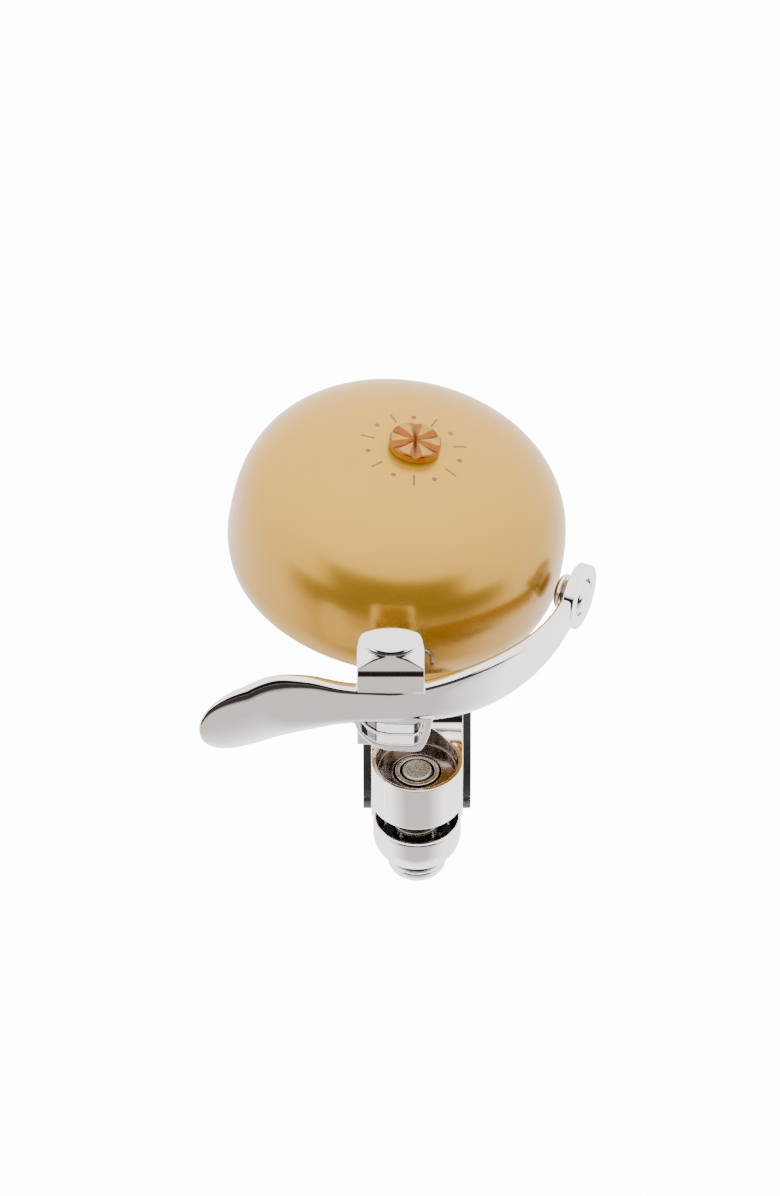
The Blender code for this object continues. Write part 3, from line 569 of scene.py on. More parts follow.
def make_dome():
    """Shell of the bell, and a ring of plain dots and dashes round its screw."""
    outside = dome_wall(DOME_R, DOME_H, DOME_RIM_R)
    inside = dome_wall(DOME_R - DOME_T, DOME_H - DOME_T, DOME_RIM_R - DOME_T)
    middle = DOME_RIM_R - DOME_T / 2
    lip = arc((middle, -DOME_RIM_DROP), DOME_T / 2, 0, -180, 9)[1:-1]
    profile = outside + lip + inside[::-1]
    dome = turned("dome_shell", profile, DOME_FRAME, closed=True, segments=256)
    shade(dome, 40)
    dress(dome, brass, "base", "brass", "dome")

    bm = bmesh.new()
    for index in range(MARK_COUNT):
        turn = math.tau * (index + 0.5) / MARK_COUNT
        if index % 2:
            outline = arc((MARK_RING_R, 0.0), DOT_R, 0, 345, 24)
        else:
            outline = arc((MARK_RING_R - DASH_HALF, 0.0), DASH_R, 90, 270, 8)
            outline += arc((MARK_RING_R + DASH_HALF, 0.0), DASH_R, -90, 90, 8)
        top = []
        bottom = []
        for u, v in outline:
            x = u * math.cos(turn) - v * math.sin(turn)
            y = u * math.sin(turn) + v * math.cos(turn)
            z = dome_surface(math.hypot(x, y))
            top.append(bm.verts.new((x * MM, y * MM, (z + MARK_PROUD) * MM)))
            bottom.append(bm.verts.new((x * MM, y * MM, (z - MARK_SUNK) * MM)))
        bm.faces.new(top)
        bm.faces.new(bottom[::-1])
        for i in range(len(top)):
            j = (i + 1) % len(top)
            bm.faces.new((bottom[i], bottom[j], top[j], top[i]))
    bmesh.ops.transform(bm, matrix=DOME_FRAME, verts=bm.verts)
    dress(shade(new_object("dome_marks", bm), 30), engraving, "base", "brass")


def make_dome_screw():
    """Screw whose head has six grooves that widen from the middle to the edge."""
    low = DOME_H + GAP
    high = low + HEAD_H
    edge = arc((HEAD_R - 0.35, high - 0.35), 0.35, 90, 0, 8)
    profile = [(r, high) for r in np.linspace(0.0, HEAD_R - 0.45, 44)] + edge
    profile += [(HEAD_R, z) for z in np.linspace(high - 0.4, low + 0.2, 16)]
    profile += [(HEAD_R - 0.2, low), (SHANK_R, low), (SHANK_R, SHANK_END), (0.0, SHANK_END)]
    screw = turned("dome_screw_fine", profile, DOME_FRAME, segments=360)
    to_local = DOME_FRAME.inverted()
    for vertex in screw.data.vertices:
        x, y, z = (to_local @ vertex.co) / MM
        if z < low + 0.1:
            continue
        radius = math.hypot(x, y)
        turn = math.degrees(math.atan2(y, x))
        off = abs(turn % GROOVE_TURN - GROOVE_TURN / 2)
        across = radius * math.sin(math.radians(off))
        depth = GROOVE_DEPTH - across * GROOVE_DEPTH / (GROOVE_HALF + GROOVE_WIDENING * radius)
        if depth > 0.0:
            vertex.co = DOME_FRAME @ (Vector((x, y, min(z, high - depth))) * MM)
    shade(screw, 25)
    dress(screw, copper, "base", "copper", "dome_screw")
    axis = Matrix.Translation(Vector(DATUM) * MM) @ DOME_FRAME
    to_axis = axis.inverted()
    screw.data.materials.append(copper_painted_groove_shade)
    # painted shade: the sloped groove walls get the darker copper
    for polygon in screw.data.polygons:
        height = (to_axis @ polygon.center).z / MM
        tilt = (axis.to_3x3().transposed() @ polygon.normal).z
        if height > high - GROOVE_DEPTH - 0.1 and 0.5 < tilt < 0.995 and height < high - 0.01:
            polygon.material_index = 1


# ---------------------------------------------------------------- lever

PADDLE_REACH = 4.3               # how far the paddle's tip stands in front of the face at the pivot
FACE_Y = LEVER_LOW[1] + PADDLE_REACH
TAB_TOP = LEVER_HIGH[2]
LEVER_BOTTOM = LEVER_LOW[2]
TIP_X = LEVER_LOW[0]
TAB_R = 5.4
TAB_EDGE = 0.3
TAB_BACK_Y = -14.7
TAB_BACK_DEPTH = 3.0
TAB_FACE_Y = FACE_Y + 0.6
TAB_STEP_Y = FACE_Y + 0.2
TAB_SILL = TAB_TOP - 8.9        # where the hood comes out of the blade's top edge
TAB_STEP_LOW = TAB_TOP - 5.4
TAB_STEP_HIGH = TAB_TOP - 4.5
LENS_R = 4.1                    # front edge of the flat on top of the hood
BROW_R = 1.5
FLARE_R = 7.8
FLANGE_TOP = 18.4
PADDLE_TIP_END = -27.0
EYE_R = 5.4
EYE_OUT = 33.4
EYE_IN = 31.4
EYE_RECESS = 32.2
EYE_RECESS_R = 3.1
STEM_R = 1.1
FOOT_LOW_Y = 17.0                # back of the foot, counted towards the front
POCKET_BACK_Y = 18.3
FLANGE_R = 2.9
FLANGE_Y = -18.0
PIN_BORE_R = 1.5
HOOD_HOLLOW = ((-3.5, -17.4), (3.5, -8.0))
HOOD_ROOF = 33.5

# (x, front face y, middle height, half height, thickness), from the tip to the pivot
PADDLE_KEYS = (
    (TIP_X, -25.3, 24.3, 0.0, 1.2),
    (-27.0, -23.0, 24.5, 6.2, 2.9),
    (-23.0, -21.8, 25.2, 6.5, 3.0),
    (-18.0, -21.1, 25.5, 5.6, 2.9),
    (-12.0, -21.0, 25.5, 4.0, 2.6),
    (-4.3, -21.0, 25.5, 3.3, 2.3),
)
# (angle round the dome, top height, bottom height), from the pivot to the eye
ARM_KEYS = (
    (0.0, 28.8, 22.2),
    (12.0, 29.8, 21.7),
    (22.0, 30.5, 21.6),
    (38.0, 30.7, 22.6),
    (52.0, 30.5, 24.1),
    (64.0, 30.6, 25.2),
)
ARM_START_R = 37.0
ARM_END_R = 33.35
ARM_T = 2.2
ARM_END_TURN = 65                # degrees round the dome
ARM_SETTLE_TURN = 60
ROUND_SQUARENESS = 2.4           # exponent of the section: 2 is an ellipse, higher is squarer
FLAT_SQUARENESS = 5.0
BLADE_SIDES = 64


def smooth_keys(keys, t):
    rows = np.array(keys, dtype=float)
    x = rows[:, 0]
    values = rows[:, 1:]
    slopes = np.gradient(values, x, axis=0)
    i = int(np.clip(np.searchsorted(x, t) - 1, 0, len(x) - 2))
    width = x[i + 1] - x[i]
    s = float(np.clip((t - x[i]) / width, 0.0, 1.0))
    return ((1 + 2 * s) * (1 - s) ** 2 * values[i] + s * (1 - s) ** 2 * width * slopes[i]
            + s * s * (3 - 2 * s) * values[i + 1] + s * s * (s - 1) * width * slopes[i + 1])


def lever_stations():
    """Sections from the paddle's tip to the eye: (x, y, z, half height, thickness, squareness)."""
    stations = []
    for a in np.linspace(3, 90, 26):
        x = PADDLE_TIP_END + (TIP_X - PADDLE_TIP_END) * math.cos(math.radians(a))
        y, z, _, thickness = smooth_keys(PADDLE_KEYS, x)
        full = PADDLE_KEYS[1][3]
        narrow = 0.45 + 0.55 * math.sin(math.radians(a)) ** 0.7
        stations.append((x, y, z, full * math.sin(math.radians(a)) ** 0.9, thickness * narrow,
                         ROUND_SQUARENESS))
    for x in np.linspace(PADDLE_TIP_END + 0.5, PIVOT[0] - 0.4, 60):
        y, z, half, thickness = smooth_keys(PADDLE_KEYS, x)
        squareness = float(np.interp(x, (-22, -9), (ROUND_SQUARENESS, FLAT_SQUARENESS)))
        stations.append((x, y, z, half, thickness, squareness))
    for degrees in np.linspace(0.4, ARM_END_TURN, 90):
        turn = math.radians(degrees)
        radius = ARM_START_R - (ARM_START_R - ARM_END_R) * min(degrees / ARM_SETTLE_TURN, 1.0) ** 1.5
        top, bottom = smooth_keys(ARM_KEYS, degrees)
        x = DOME_CENTRE[0] + radius * math.sin(turn)
        y = DOME_CENTRE[1] - radius * math.cos(turn)
        stations.append((x, y, (top + bottom) / 2, (top - bottom) / 2, ARM_T, FLAT_SQUARENESS))
    return stations


def lever_blade():
    """Skin through the sections, which lie across the path of the blade's front face."""
    stations = lever_stations()
    path = np.array([(s[0], s[1]) for s in stations])
    lengths = np.concatenate(([0.0], np.cumsum(np.hypot(*np.diff(path, axis=0).T))))
    tangents = np.gradient(path, lengths, axis=0)
    bm = bmesh.new()
    rings = []
    for (x, y, z, half, thickness, squareness), (tx, ty) in zip(stations, tangents):
        size = math.hypot(tx, ty)
        inward = (-ty / size, tx / size)
        loop = []
        for a in np.arange(BLADE_SIDES) / BLADE_SIDES * math.tau:
            across = math.copysign(abs(math.cos(a)) ** (2 / squareness), math.cos(a))
            up = math.copysign(abs(math.sin(a)) ** (2 / squareness), math.sin(a))
            depth = thickness / 2 * (1 + across)
            place = (x + inward[0] * depth, y + inward[1] * depth, z + half * up)
            loop.append(bm.verts.new(Vector(place) * MM))
        rings.append(loop)
    for first, second in zip(rings, rings[1:]):
        for i in range(BLADE_SIDES):
            j = (i + 1) % BLADE_SIDES
            bm.faces.new((first[i], first[j], second[j], second[i]))
    ends = [bm.faces.new(rings[0][::-1]), bm.faces.new(rings[-1])]
    bmesh.ops.triangulate(bm, faces=ends)
    return new_object("lever_casting", bm)


def lever_tab():
    """Hood over the pivot: a lens-shaped flat on top, a round brow and a stepped face."""
    px = PIVOT[0]
    centre_y = TAB_BACK_Y - TAB_BACK_DEPTH
    edge = TAB_EDGE
    rows = [(0.0, FLANGE_TOP - 1.5)]
    rows += [(edge * (1 - math.cos(a)), TAB_TOP - edge + edge * math.sin(a))
             for a in np.linspace(0, math.pi / 2, 5)]
    bm = bmesh.new()
    loops = []
    for inset, z in rows:
        width = TAB_R - inset
        outline = [(px - width, TAB_STEP_Y), (px + width, TAB_STEP_Y)]
        outline += [(px + width * math.cos(a), centre_y + (TAB_BACK_DEPTH - inset) * math.sin(a))
                    for a in np.linspace(0, math.pi, 61)]
        loops.append([bm.verts.new(Vector((u, v, z)) * MM) for u, v in outline])
    for below, above in zip(loops, loops[1:]):
        for i in range(len(below)):
            j = (i + 1) % len(below)
            bm.faces.new((below[i], below[j], above[j], above[i]))
    ends = [bm.faces.new(loops[0][::-1]), bm.faces.new(loops[-1])]
    bmesh.ops.triangulate(bm, faces=ends)
    tab = new_object("tab", bm)
    face = [(FACE_Y - 3, LEVER_BOTTOM), (TAB_FACE_Y, LEVER_BOTTOM), (TAB_FACE_Y, TAB_SILL - 0.3),
            (TAB_STEP_Y, TAB_SILL), (TAB_STEP_Y, TAB_STEP_LOW), (TAB_FACE_Y, TAB_STEP_HIGH),
            (TAB_FACE_Y, TAB_TOP + 1), (FACE_Y - 3, TAB_TOP + 1)]
    face_cutter = slab("tab_face", face, px - TAB_R - 0.6, px + TAB_R + 0.6, "YZ")
    rim = TAB_TOP + 1
    foot = TAB_STEP_HIGH + 0.2
    brow = [(FLARE_R + 4, rim), (FLARE_R + 4, foot), (FLARE_R, foot)]
    brow += arc((LENS_R, TAB_TOP - BROW_R), BROW_R, 0, 90, 16)
    brow += [(LENS_R - 0.1, TAB_TOP + 0.02), (LENS_R - 1, TAB_TOP + 0.05), (LENS_R - 1, rim)]
    centre = Matrix.Translation(Vector((px, TAB_FACE_Y + BROW_R + LENS_R, 0.0)) * MM)
    brow_cutter = turned("tab_brow", brow, centre, closed=True, segments=240)
    return combine(tab, [face_cutter, brow_cutter], "DIFFERENCE")


def make_lever():
    px, py = PIVOT
    foot = [(-10.4, 23.2), (-10.0, 21.4), (-9.4, 19.8), (-8.5, 18.5), (-7.3, 17.2), (-5.0, 16.0),
            (-0.4, 15.6), (0.7, 16.0), (1.4, 17.4), (2.0, 19.6), (2.4, 22.0), (2.4, 23.2)]
    pocket = [(-9.4, 22.4), (-9.0, 20.2), (-8.0, 18.9), (-6.6, 17.8), (-4.6, 17.3),
              (-0.6, 17.2), (0.3, 17.8), (0.9, 19.6), (1.2, 22.4)]
    flange = arc((px, py), FLANGE_R, -20, 200, 41) + [(-7.0, FLANGE_Y), (0.0, FLANGE_Y)]
    hollow_low, hollow_high = HOOD_HOLLOW
    lever = lever_blade()
    combine(lever, [
        lever_tab(),
        slab("foot", foot, FOOT_LOW_Y, -FACE_Y - 0.1, "XZ"),
        slab("flange", flange, LEVER_BOTTOM + 0.1, FLANGE_TOP),
        rod("eye", (0, 0, EYE_IN), (0, 0, EYE_OUT), EYE_R, 128, HAMMER_FRAME)], "UNION")
    combine(lever, [
        block("hood", (px + hollow_low[0], hollow_low[1], FLANGE_TOP),
              (px + hollow_high[0], hollow_high[1], HOOD_ROOF)),
        slab("foot_pocket", pocket, POCKET_BACK_Y, -FACE_Y + 1, "XZ"),
        rod("pin_bore", (px, py, LEVER_BOTTOM - 1), (px, py, FLANGE_TOP + 1), PIN_BORE_R, 64),
        rod("recess", (0, 0, EYE_RECESS), (0, 0, EYE_OUT + 1), EYE_RECESS_R, 96, HAMMER_FRAME),
        rod("eye_bore", (0, 0, EYE_IN - 1), (0, 0, EYE_OUT), STEM_R + GAP, 64, HAMMER_FRAME)],
        "DIFFERENCE")
    soften(lever, 0.12, 7)
    dress(lever, chrome, "lever", "chrome", "lever")


DISC_TIP = 28.6
DISC_BACK = 30.1
DISC_R = 3.0
CAP_R = 2.75
HAMMER_COIL_R = 1.9
HAMMER_WIRE_R = 0.15


def make_hammer():
    tip = DISC_TIP
    back = DISC_BACK
    disc = DISC_R
    striker = turned("hammer_disc", round_corners([
        (0, EYE_OUT - 0.1), (STEM_R, EYE_OUT - 0.1), (STEM_R, back), (disc - 0.2, back),
        (disc, back - 0.3), (disc, tip + 0.9), (disc - 0.6, tip + 0.35), (disc - 1.6, tip + 0.08),
        (0, tip)], 0.3), HAMMER_FRAME, segments=160)
    dress(shade(striker, 40), chrome, "hammer", "chrome", "striker")
    low = EYE_RECESS + GAP
    roof = EYE_OUT + 0.2
    cap = turned("hammer_cap", round_corners([
        (0, roof + 0.6), (1.2, roof + 0.5), (2.1, roof + 0.2), (2.6, roof - 0.3), (CAP_R, roof - 0.8),
        (CAP_R, low), (STEM_R + GAP, low), (STEM_R + GAP, roof), (0, roof)], 0.35), HAMMER_FRAME,
        segments=160)
    dress(shade(cap, 40), chrome, "hammer", "chrome", "striker_cap")
    turns = coil(HAMMER_COIL_R, back + 0.05, back + 0.35, 1.5, 36)
    points = [(HAMMER_FRAME @ (Vector(point) * MM)) / MM for point in turns]
    dress(wire("hammer_coil", points, HAMMER_WIRE_R), spring_steel, "hammer", "spring", "striker_spring")


RETURN_COIL_R = 2.1
RETURN_COIL_LOW = 24.45
RETURN_COIL_HIGH = 30.45
RETURN_COIL_TURNS = 5 + 110 / 360
RETURN_HOOK_Z = 30.85
RETURN_WIRE_R = 0.35


def make_return_spring():
    px, py = PIVOT
    turns = coil(RETURN_COIL_R, RETURN_COIL_LOW, RETURN_COIL_HIGH, -RETURN_COIL_TURNS, 90, 200)
    points = [(px + x, py + y, z) for x, y, z in turns]
    hook = RETURN_HOOK_Z
    points += [(px + 2.0, py + 1.95, hook), (px + 5.6, py + 1.2, hook), (px + 6.4, py + 0.6, hook),
               (px + 6.6, py - 0.3, hook), (px + 6.6, py - 1.8, hook)]
    dress(wire("return_spring", points, RETURN_WIRE_R), spring_steel, "lever", "spring", "torsion_spring")


# ---------------------------------------------------------------- clamp

BARREL_R = 7.45
BARREL_TOP = 10.6
BARREL_BOTTOM = 2.0
POCKET_R = 6.6
POCKET_FLOOR = 8.2
NUT_R = 3.6
NUT_LOW = 4.5
BOLT_R = 2.5
CUP_R = 7.15
CUP_FLOOR = -4.7
CUP_BORE_R = 3.4
HINGE_R = 2.6
HINGE_RELIEF = 0.35
PIN_HOLE_R = 1.5
KNUCKLE_HALF = 2.95
UPPER_RELIEF = 3.0               # where the room for the lower band's knuckles starts, from the middle
LOWER_RELIEF = 3.3               # where the room for the upper band's knuckle ends
SPLIT_HALF = 0.4                 # each band starts this far from the split at the hinge
BORE_CUT_HALF = 12.0
PAD_FRONT = -9.5
PAD_BACK = 8.0
PAD_SHOULDER = 10.5
PAD_HOLLOW_TOP = 15.0
PAD_HOLE_R = 1.7
PAD_HOLE_LOW = 13.0
WEB_HALF = 5.6
LINER_EDGE = 0.22
KNOB_R = 4.75
KNOB_TOP = -10.35
SLOT_REACH = 3.2
SLOT_HALF = 0.6
SLOT_DEPTH = 1.0
GAP_COIL_R = 3.65
GAP_COIL_LOW = -3.5
GAP_WIRE_R = 0.35


def half_disc(front_z, rear_z, side):
    start = math.degrees(math.asin(rear_z / BAND_OUT))
    end = 180 - math.degrees(math.asin(front_z / BAND_OUT))
    if side < 0:
        end = -180 - math.degrees(math.asin(front_z / BAND_OUT))
    return arc((0, 0), BAND_OUT, start, end, 121)


def hinge_rod(name, low, high, radius):
    return rod(name, (low, HINGE_Y, 0), (high, HINGE_Y, 0), radius, 80)


def paint_faces(obj, material, test):
    """Gives a second material to the faces whose centre, in millimetres, passes a test."""
    obj.data.materials.append(material)
    index = len(obj.data.materials) - 1
    for polygon in obj.data.polygons:
        if test(polygon.center / MM - Vector(DATUM), polygon.normal):
            polygon.material_index = index


def from_bolt(centre, normal):
    """How far a face is from the bolt's axis, and whether it faces that axis."""
    across = centre[1] - BOLT_Y
    return math.hypot(centre[0], across), normal[0] * centre[0] + normal[1] * across < 0


def make_clamp_upper():
    """Band, bolt barrel with its open pocket, and the pad that carries the bell."""
    px = PIVOT[0]
    upper = slab("upper_band", half_disc(BARREL_BOTTOM, SPLIT_HALF, 1), -BAND_HALF, BAND_HALF, "YZ")
    hollow = PAD_HOLLOW_TOP - PAD_SHOULDER
    outline = [(BOLT_Y, BARREL_BOTTOM + 0.1), (BOLT_Y, PAD_SHOULDER)]
    outline += arc((PAD_FRONT - hollow, PAD_HOLLOW_TOP), hollow, -90, 0, 32)
    outline += [(PAD_FRONT, PAD_TOP), (PAD_BACK, PAD_TOP), (PAD_BACK, 8.5), (-11.0, BARREL_BOTTOM + 0.1)]
    combine(upper, [
        rod("barrel", (0, BOLT_Y, BARREL_BOTTOM), (0, BOLT_Y, BARREL_TOP), BARREL_R, 160),
        slab("pad", outline, -BARREL_R, BARREL_R, "YZ")], "UNION")
    holes = [
        rod("bar_bore", (-BORE_CUT_HALF, 0, 0), (BORE_CUT_HALF, 0, 0), BAND_IN, 240),
        rod("pocket", (0, BOLT_Y, POCKET_FLOOR), (0, BOLT_Y, PAD_TOP + 1), POCKET_R, 160),
        rod("nut_bore", (0, BOLT_Y, NUT_LOW - GAP), (0, BOLT_Y, POCKET_FLOOR + 0.5), NUT_R + GAP, 120),
        rod("bolt_bore", (0, BOLT_Y, BARREL_BOTTOM - 1), (0, BOLT_Y, NUT_LOW), BOLT_R + GAP, 96),
        hinge_rod("relief_left", -BAND_HALF - 1, -UPPER_RELIEF, HINGE_R + HINGE_RELIEF),
        hinge_rod("relief_right", UPPER_RELIEF, BAND_HALF + 1, HINGE_R + HINGE_RELIEF)]
    for node in ("base_screw_front", "base_screw_rear"):
        y = centre_mm(node)[1]
        holes.append(rod("pad_hole", (px, y, PAD_HOLE_LOW), (px, y, PAD_TOP + 1), PAD_HOLE_R, 48))
    combine(upper, holes, "DIFFERENCE")
    combine(upper, [hinge_rod("knuckle", -KNUCKLE_HALF, KNUCKLE_HALF, HINGE_R)], "UNION")
    combine(upper, [hinge_rod("pin_hole", -KNUCKLE_HALF - 1, KNUCKLE_HALF + 1, PIN_HOLE_R)], "DIFFERENCE")
    soften(upper, 0.13, 6)
    dress(upper, chrome, "base", "chrome", "clamp_upper")
    reach = POCKET_R + 0.12

    # painted shade: the faces inside the pocket get the dark chrome
    def painted_shade_pocket(centre, normal):
        away, inward = from_bolt(centre, normal)
        return away < reach and centre[2] > NUT_LOW - 0.5 and (inward or normal[2] > 0.5)

    paint_faces(upper, chrome_painted_shade, painted_shade_pocket)


def make_clamp_lower():
    """Lower band with the cup under the barrel, hinged at the back."""
    lower = slab("lower_band", half_disc(CUP_TOP - 0.15, -SPLIT_HALF, -1), -BAND_HALF, BAND_HALF, "YZ")
    cup = turned("cup", round_corners([
        (0, CUP_TOP), (CUP_R - 0.3, CUP_TOP), (CUP_R, CUP_TOP - 0.3), (CUP_R, CUP_TOP - 3.8),
        (CUP_R - 0.35, CUP_TOP - 5.3), (CUP_R - 1.2, CUP_TOP - 6.6), (CUP_R - 2.2, CUP_TOP - 7.4),
        (CUP_R - 2.9, CUP_BOTTOM), (0, CUP_BOTTOM)], 0.5), BOLT_FRAME, segments=160)
    web = [(BOLT_Y, CUP_TOP - 0.1), (-11.0, CUP_TOP - 0.1), (-8.3, -8.6), (-10.5, -8.9), (BOLT_Y, -8.3)]
    combine(lower, [cup, slab("web", web, -WEB_HALF, WEB_HALF, "YZ")], "UNION")
    recess = arc((0, BOLT_Y), CUP_R - 0.7, 42, -222, 81)
    combine(lower, [
        rod("bar_bore", (-BORE_CUT_HALF, 0, 0), (BORE_CUT_HALF, 0, 0), BAND_IN, 240),
        slab("cup_recess", recess, CUP_FLOOR, CUP_TOP + 1),
        rod("cup_bore", (0, BOLT_Y, CUP_BOTTOM - 1), (0, BOLT_Y, CUP_FLOOR + 0.5), CUP_BORE_R, 96),
        hinge_rod("relief", -LOWER_RELIEF, LOWER_RELIEF, HINGE_R + HINGE_RELIEF)], "DIFFERENCE")
    for side in (-1, 1):
        start = side * LOWER_RELIEF
        end = side * (BAND_HALF - 0.1)
        combine(lower, [hinge_rod("knuckle", start, end, HINGE_R)], "UNION")
        combine(lower, [hinge_rod("pin_hole", start - side, end + side, PIN_HOLE_R)], "DIFFERENCE")
    soften(lower, 0.13, 6)
    dress(lower, chrome, "clamp_jaw", "chrome", "clamp_lower")

    # painted shade: the faces inside the cup get the dark chrome
    def painted_shade_cup(centre, normal):
        away, inward = from_bolt(centre, normal)
        return away < CUP_R - 0.6 and centre[2] < CUP_TOP - 0.3 and centre[2] > CUP_BOTTOM and inward

    paint_faces(lower, chrome_painted_shade, painted_shade_cup)


def make_liner(name, node, body, start, end):
    """Rubber strip inside a band, between two angles counted in degrees from the front."""
    outer = arc((0, 0), LINER_OUT, 180 - start, 180 - end, 121)
    inner = arc((0, 0), BAR_R, 180 - end, 180 - start, 121)
    liner = slab(name, outer + inner, -LINER_HALF, LINER_HALF, "YZ")
    bm = bmesh.new()
    bm.from_mesh(liner.data)
    bmesh.ops.dissolve_limit(bm, angle_limit=0.001, verts=bm.verts, edges=bm.edges)
    bm.to_mesh(liner.data)
    bm.free()
    edge = liner.modifiers.new("edge", "BEVEL")
    edge.width = LINER_EDGE * MM
    edge.segments = 3
    edge.limit_method = "ANGLE"
    edge.angle_limit = math.radians(50)
    bake_modifiers(liner)
    dress(shade(liner, 35), rubber, body, "rubber", node)


def make_bolt():
    """Bolt with its knob, and the nut, washer and spring round it."""
    bolt_low, bolt_high = box_mm("clamp_bolt")
    knob_bottom = bolt_low[2]
    end = bolt_high[2]
    bolt = turned("clamp_bolt_fine", round_corners([
        (0, end - 0.12), (BOLT_R - 0.5, end - 0.05), (BOLT_R - 0.3, end), (BOLT_R, end - 0.35),
        (BOLT_R, KNOB_TOP), (KNOB_R - 0.3, KNOB_TOP), (KNOB_R, KNOB_TOP - 0.3), (KNOB_R, KNOB_TOP - 1.1),
        (KNOB_R - 0.5, knob_bottom + 0.7), (KNOB_R - 1.6, knob_bottom + 0.15), (0, knob_bottom)], 0.4),
        BOLT_FRAME, segments=160)
    slot = block("slot", (-SLOT_REACH, BOLT_Y - SLOT_HALF, knob_bottom - 1),
                 (SLOT_REACH, BOLT_Y + SLOT_HALF, knob_bottom + SLOT_DEPTH))
    combine(bolt, [slot], "DIFFERENCE")
    dress(shade(bolt, 35), chrome, "bolt", "chrome", "clamp_bolt")
    paint_faces(bolt, bolt_end, lambda centre, normal: centre[2] > KNOB_TOP + 0.5)
    nut = ring_piece("clamp_nut_fine", BOLT_R + GAP, NUT_R, NUT_LOW, POCKET_FLOOR + 0.2, BOLT_FRAME, 0.15)
    dress(shade(nut, 35), steel, "base", "steel", "clamp_nut")
    washer_low, washer_high = box_mm("bolt_washer")
    washer = ring_piece("bolt_washer_fine", BOLT_R + GAP, washer_high[0], washer_low[2], washer_high[2],
                        BOLT_FRAME, 0.06)
    dress(shade(washer, 35), steel, "bolt_carrier", "steel", "bolt_washer")
    turns = coil(GAP_COIL_R, GAP_COIL_LOW, BARREL_BOTTOM - GAP - GAP_WIRE_R, 3.5, 70)
    points = [(x, BOLT_Y + y, z) for x, y, z in turns]
    dress(wire("gap_coil", points, GAP_WIRE_R), spring_steel, "base", "spring", "gap_spring")


def repaint(material, *nodes):
    """New material on CAD nodes that stay."""
    for node in nodes:
        obj = frame["nodes"][node]
        if not obj.material_slots:
            obj.data.materials.append(material)
        for slot_ in obj.material_slots:
            slot_.material = material


# ---------------------------------------------------------------- stage

CAMERA_TARGET = Vector((-4.4, 5.0, 25.9))
CAMERA_ELEVATION = math.radians(42)
CAMERA_DISTANCE = 1500.0
CAMERA_LENS = 277.8

STUDIO_WHITE = (3.0, 2.95, 2.88)
STUDIO_BLACK = (0.02, 0.016, 0.012)
FLOOR_AHEAD_GLOW = (1.06, 0.975, 0.94)       # painted glow of the floor between the bell and the camera, as the chrome sees it
BACKDROP = (14.0, 14.0, 14.0)
FLOOR_HALF = 2.0
FLOOR_GAP = 0.0002                      # below the lowest piece
FLOOR_GLOW = 0.99

# (name, place in metres, side, power)
LIGHTS = (
    ("key", (-0.35, -0.25, 0.7), 0.5, 5.0),
    ("top", (0.2, 0.3, 0.8), 0.6, 4.0),
)


def make_world():
    """White studio with a dark band low in front, for the crisp dark lines on the chrome."""
    world = bpy.data.worlds.new("studio")
    bpy.context.scene.world = world
    world.use_nodes = True
    tree = world.node_tree
    background = tree.nodes["Background"]
    coords = tree.nodes.new("ShaderNodeTexCoord")
    split = tree.nodes.new("ShaderNodeSeparateXYZ")
    tree.links.new(coords.outputs["Generated"], split.inputs["Vector"])
    low_edge = remap(tree, split.outputs["Z"], -0.06, 0.0, 0.0, 1.0)
    high_edge = remap(tree, split.outputs["Z"], 0.40, 0.56, 1.0, 0.0)
    front = remap(tree, split.outputs["Y"], -0.35, -0.2, 1.0, 0.0)
    width = tree.nodes.new("ShaderNodeMath")
    width.operation = "ABSOLUTE"
    tree.links.new(split.outputs["X"], width.inputs[0])
    middle = remap(tree, width.outputs[0], 0.62, 0.78, 1.0, 0.0)
    dark = multiply(tree, multiply(tree, low_edge, high_edge), multiply(tree, front, middle))
    studio = mix_colours(tree, dark, STUDIO_WHITE, STUDIO_BLACK)
    path = tree.nodes.new("ShaderNodeLightPath")
    shown = mix_colours(tree, path.outputs["Is Camera Ray"], studio, BACKDROP)
    tree.links.new(shown, background.inputs["Color"])
    background.inputs["Strength"].default_value = 1.0


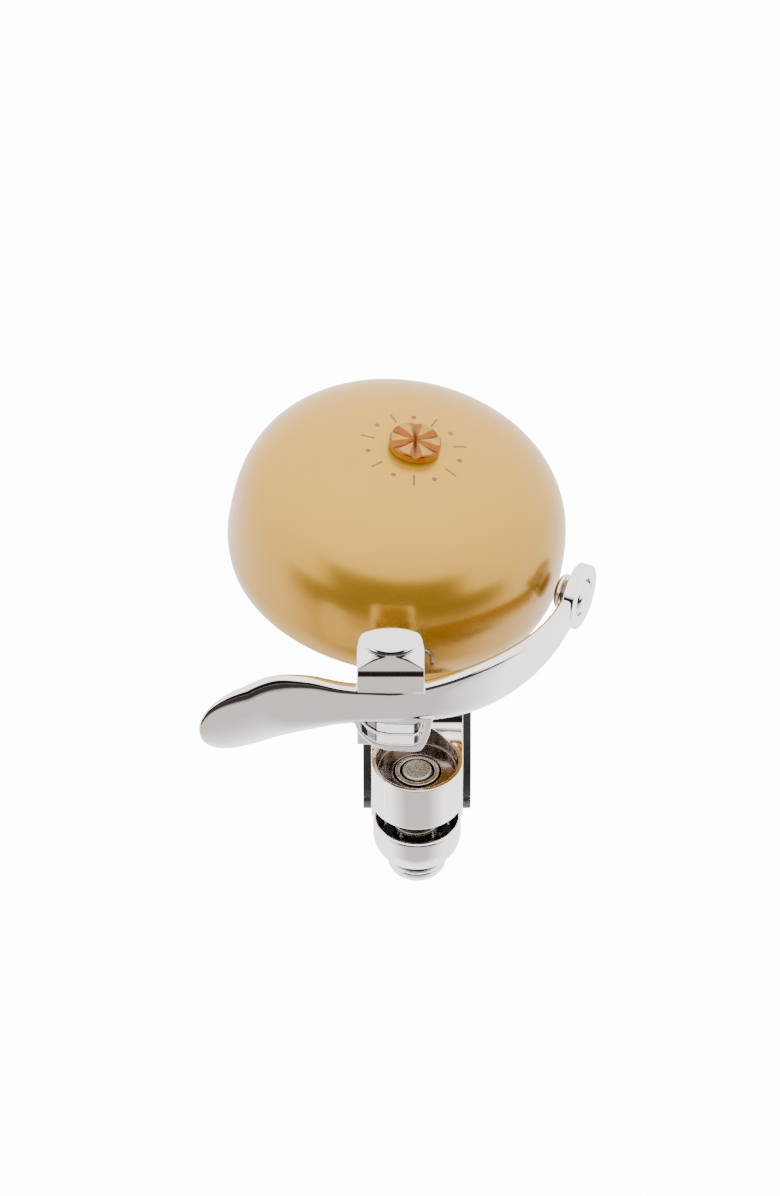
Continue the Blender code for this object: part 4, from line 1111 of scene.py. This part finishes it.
def make_floor():
    """Pale floor that glows as painted light: even white to the camera, warmer ahead of the bell, and a
    painted dark reflection only at a grazing angle from the front.
    """
    material = bpy.data.materials.new("pale_floor")
    material.use_nodes = True
    tree = material.node_tree
    output = tree.nodes["Material Output"]
    shader = tree.nodes["Principled BSDF"]
    shader.inputs["Base Color"].default_value = (0.9, 0.9, 0.9, 1.0)
    shader.inputs["Roughness"].default_value = 0.9
    glow = tree.nodes.new("ShaderNodeEmission")
    path = tree.nodes.new("ShaderNodeLightPath")
    geometry = tree.nodes.new("ShaderNodeNewGeometry")
    split = tree.nodes.new("ShaderNodeSeparateXYZ")
    tree.links.new(geometry.outputs["Incoming"], split.inputs["Vector"])
    ahead = remap(tree, split.outputs["Y"], 0.25, 0.65, 0.0, 1.0)
    near = mix_colours(tree, ahead, STUDIO_WHITE, FLOOR_AHEAD_GLOW)
    grazing = remap(tree, split.outputs["Z"], 0.30, 0.42, 1.0, 0.0)
    front = remap(tree, split.outputs["Y"], 0.2, 0.5, 0.0, 1.0)
    # painted dark reflection: the floor glows black at a grazing angle from the front
    painted_dark_reflection = mix_colours(tree, multiply(tree, grazing, front), near, STUDIO_BLACK)
    seen = mix_colours(tree, path.outputs["Is Camera Ray"], painted_dark_reflection, BACKDROP)
    tree.links.new(seen, glow.inputs["Color"])
    blend = tree.nodes.new("ShaderNodeMixShader")
    blend.inputs["Fac"].default_value = FLOOR_GLOW
    tree.links.new(shader.outputs["BSDF"], blend.inputs[1])
    tree.links.new(glow.outputs["Emission"], blend.inputs[2])
    tree.links.new(blend.outputs["Shader"], output.inputs["Surface"])
    bm = bmesh.new()
    half = FLOOR_HALF
    height = cad_bounds[0][2] - FLOOR_GAP
    bm.faces.new([bm.verts.new((x, y, height)) for x, y in
                  ((-half, -half), (half, -half), (half, half), (-half, half))])
    floor = new_object("floor", bm)
    floor.data.materials.append(material)


def make_lights():
    for name, place, size, power in LIGHTS:
        data = bpy.data.lights.new(name, "AREA")
        data.size = size
        data.energy = power
        light = bpy.data.objects.new(name, data)
        light.location = place
        data.use_shadow = False
        light.visible_glossy = False
        aim = (CAMERA_TARGET + Vector(DATUM)) * MM - Vector(place)
        light.rotation_euler = aim.to_track_quat("-Z", "Y").to_euler()
        bpy.context.scene.collection.objects.link(light)


def make_camera():
    data = bpy.data.cameras.new("camera")
    data.lens = CAMERA_LENS
    data.sensor_width = 36.0
    data.sensor_fit = "AUTO"
    data.clip_start = 0.01
    camera = bpy.data.objects.new("camera", data)
    back = Vector((0.0, -math.cos(CAMERA_ELEVATION), math.sin(CAMERA_ELEVATION)))
    camera.location = (CAMERA_TARGET + Vector(DATUM) + back * CAMERA_DISTANCE) * MM
    camera.rotation_euler = (-back).to_track_quat("-Z", "Y").to_euler()
    bpy.context.scene.collection.objects.link(camera)
    bpy.context.scene.camera = camera


# ---------------------------------------------------------------- assembly

make_dome()
make_dome_screw()
make_lever()
make_hammer()
make_return_spring()
make_clamp_upper()
make_clamp_lower()
make_liner("liner_top", "liner_upper", "base", -15.0, 178.0)
make_liner("liner_bottom", "liner_lower", "clamp_jaw", -20.0, -178.0)
make_bolt()
repaint(chrome, "base_bracket")
repaint(steel, "dome_post", "post_nut", "post_washer", "base_screw_front", "base_screw_rear",
        "pivot_pin", "hinge_pin")
repaint(bronze, "pivot_bushing")
repaint(nylon, "pivot_washer")
repaint(fibre, "dome_washer")
make_world()
make_floor()
make_lights()
make_camera()
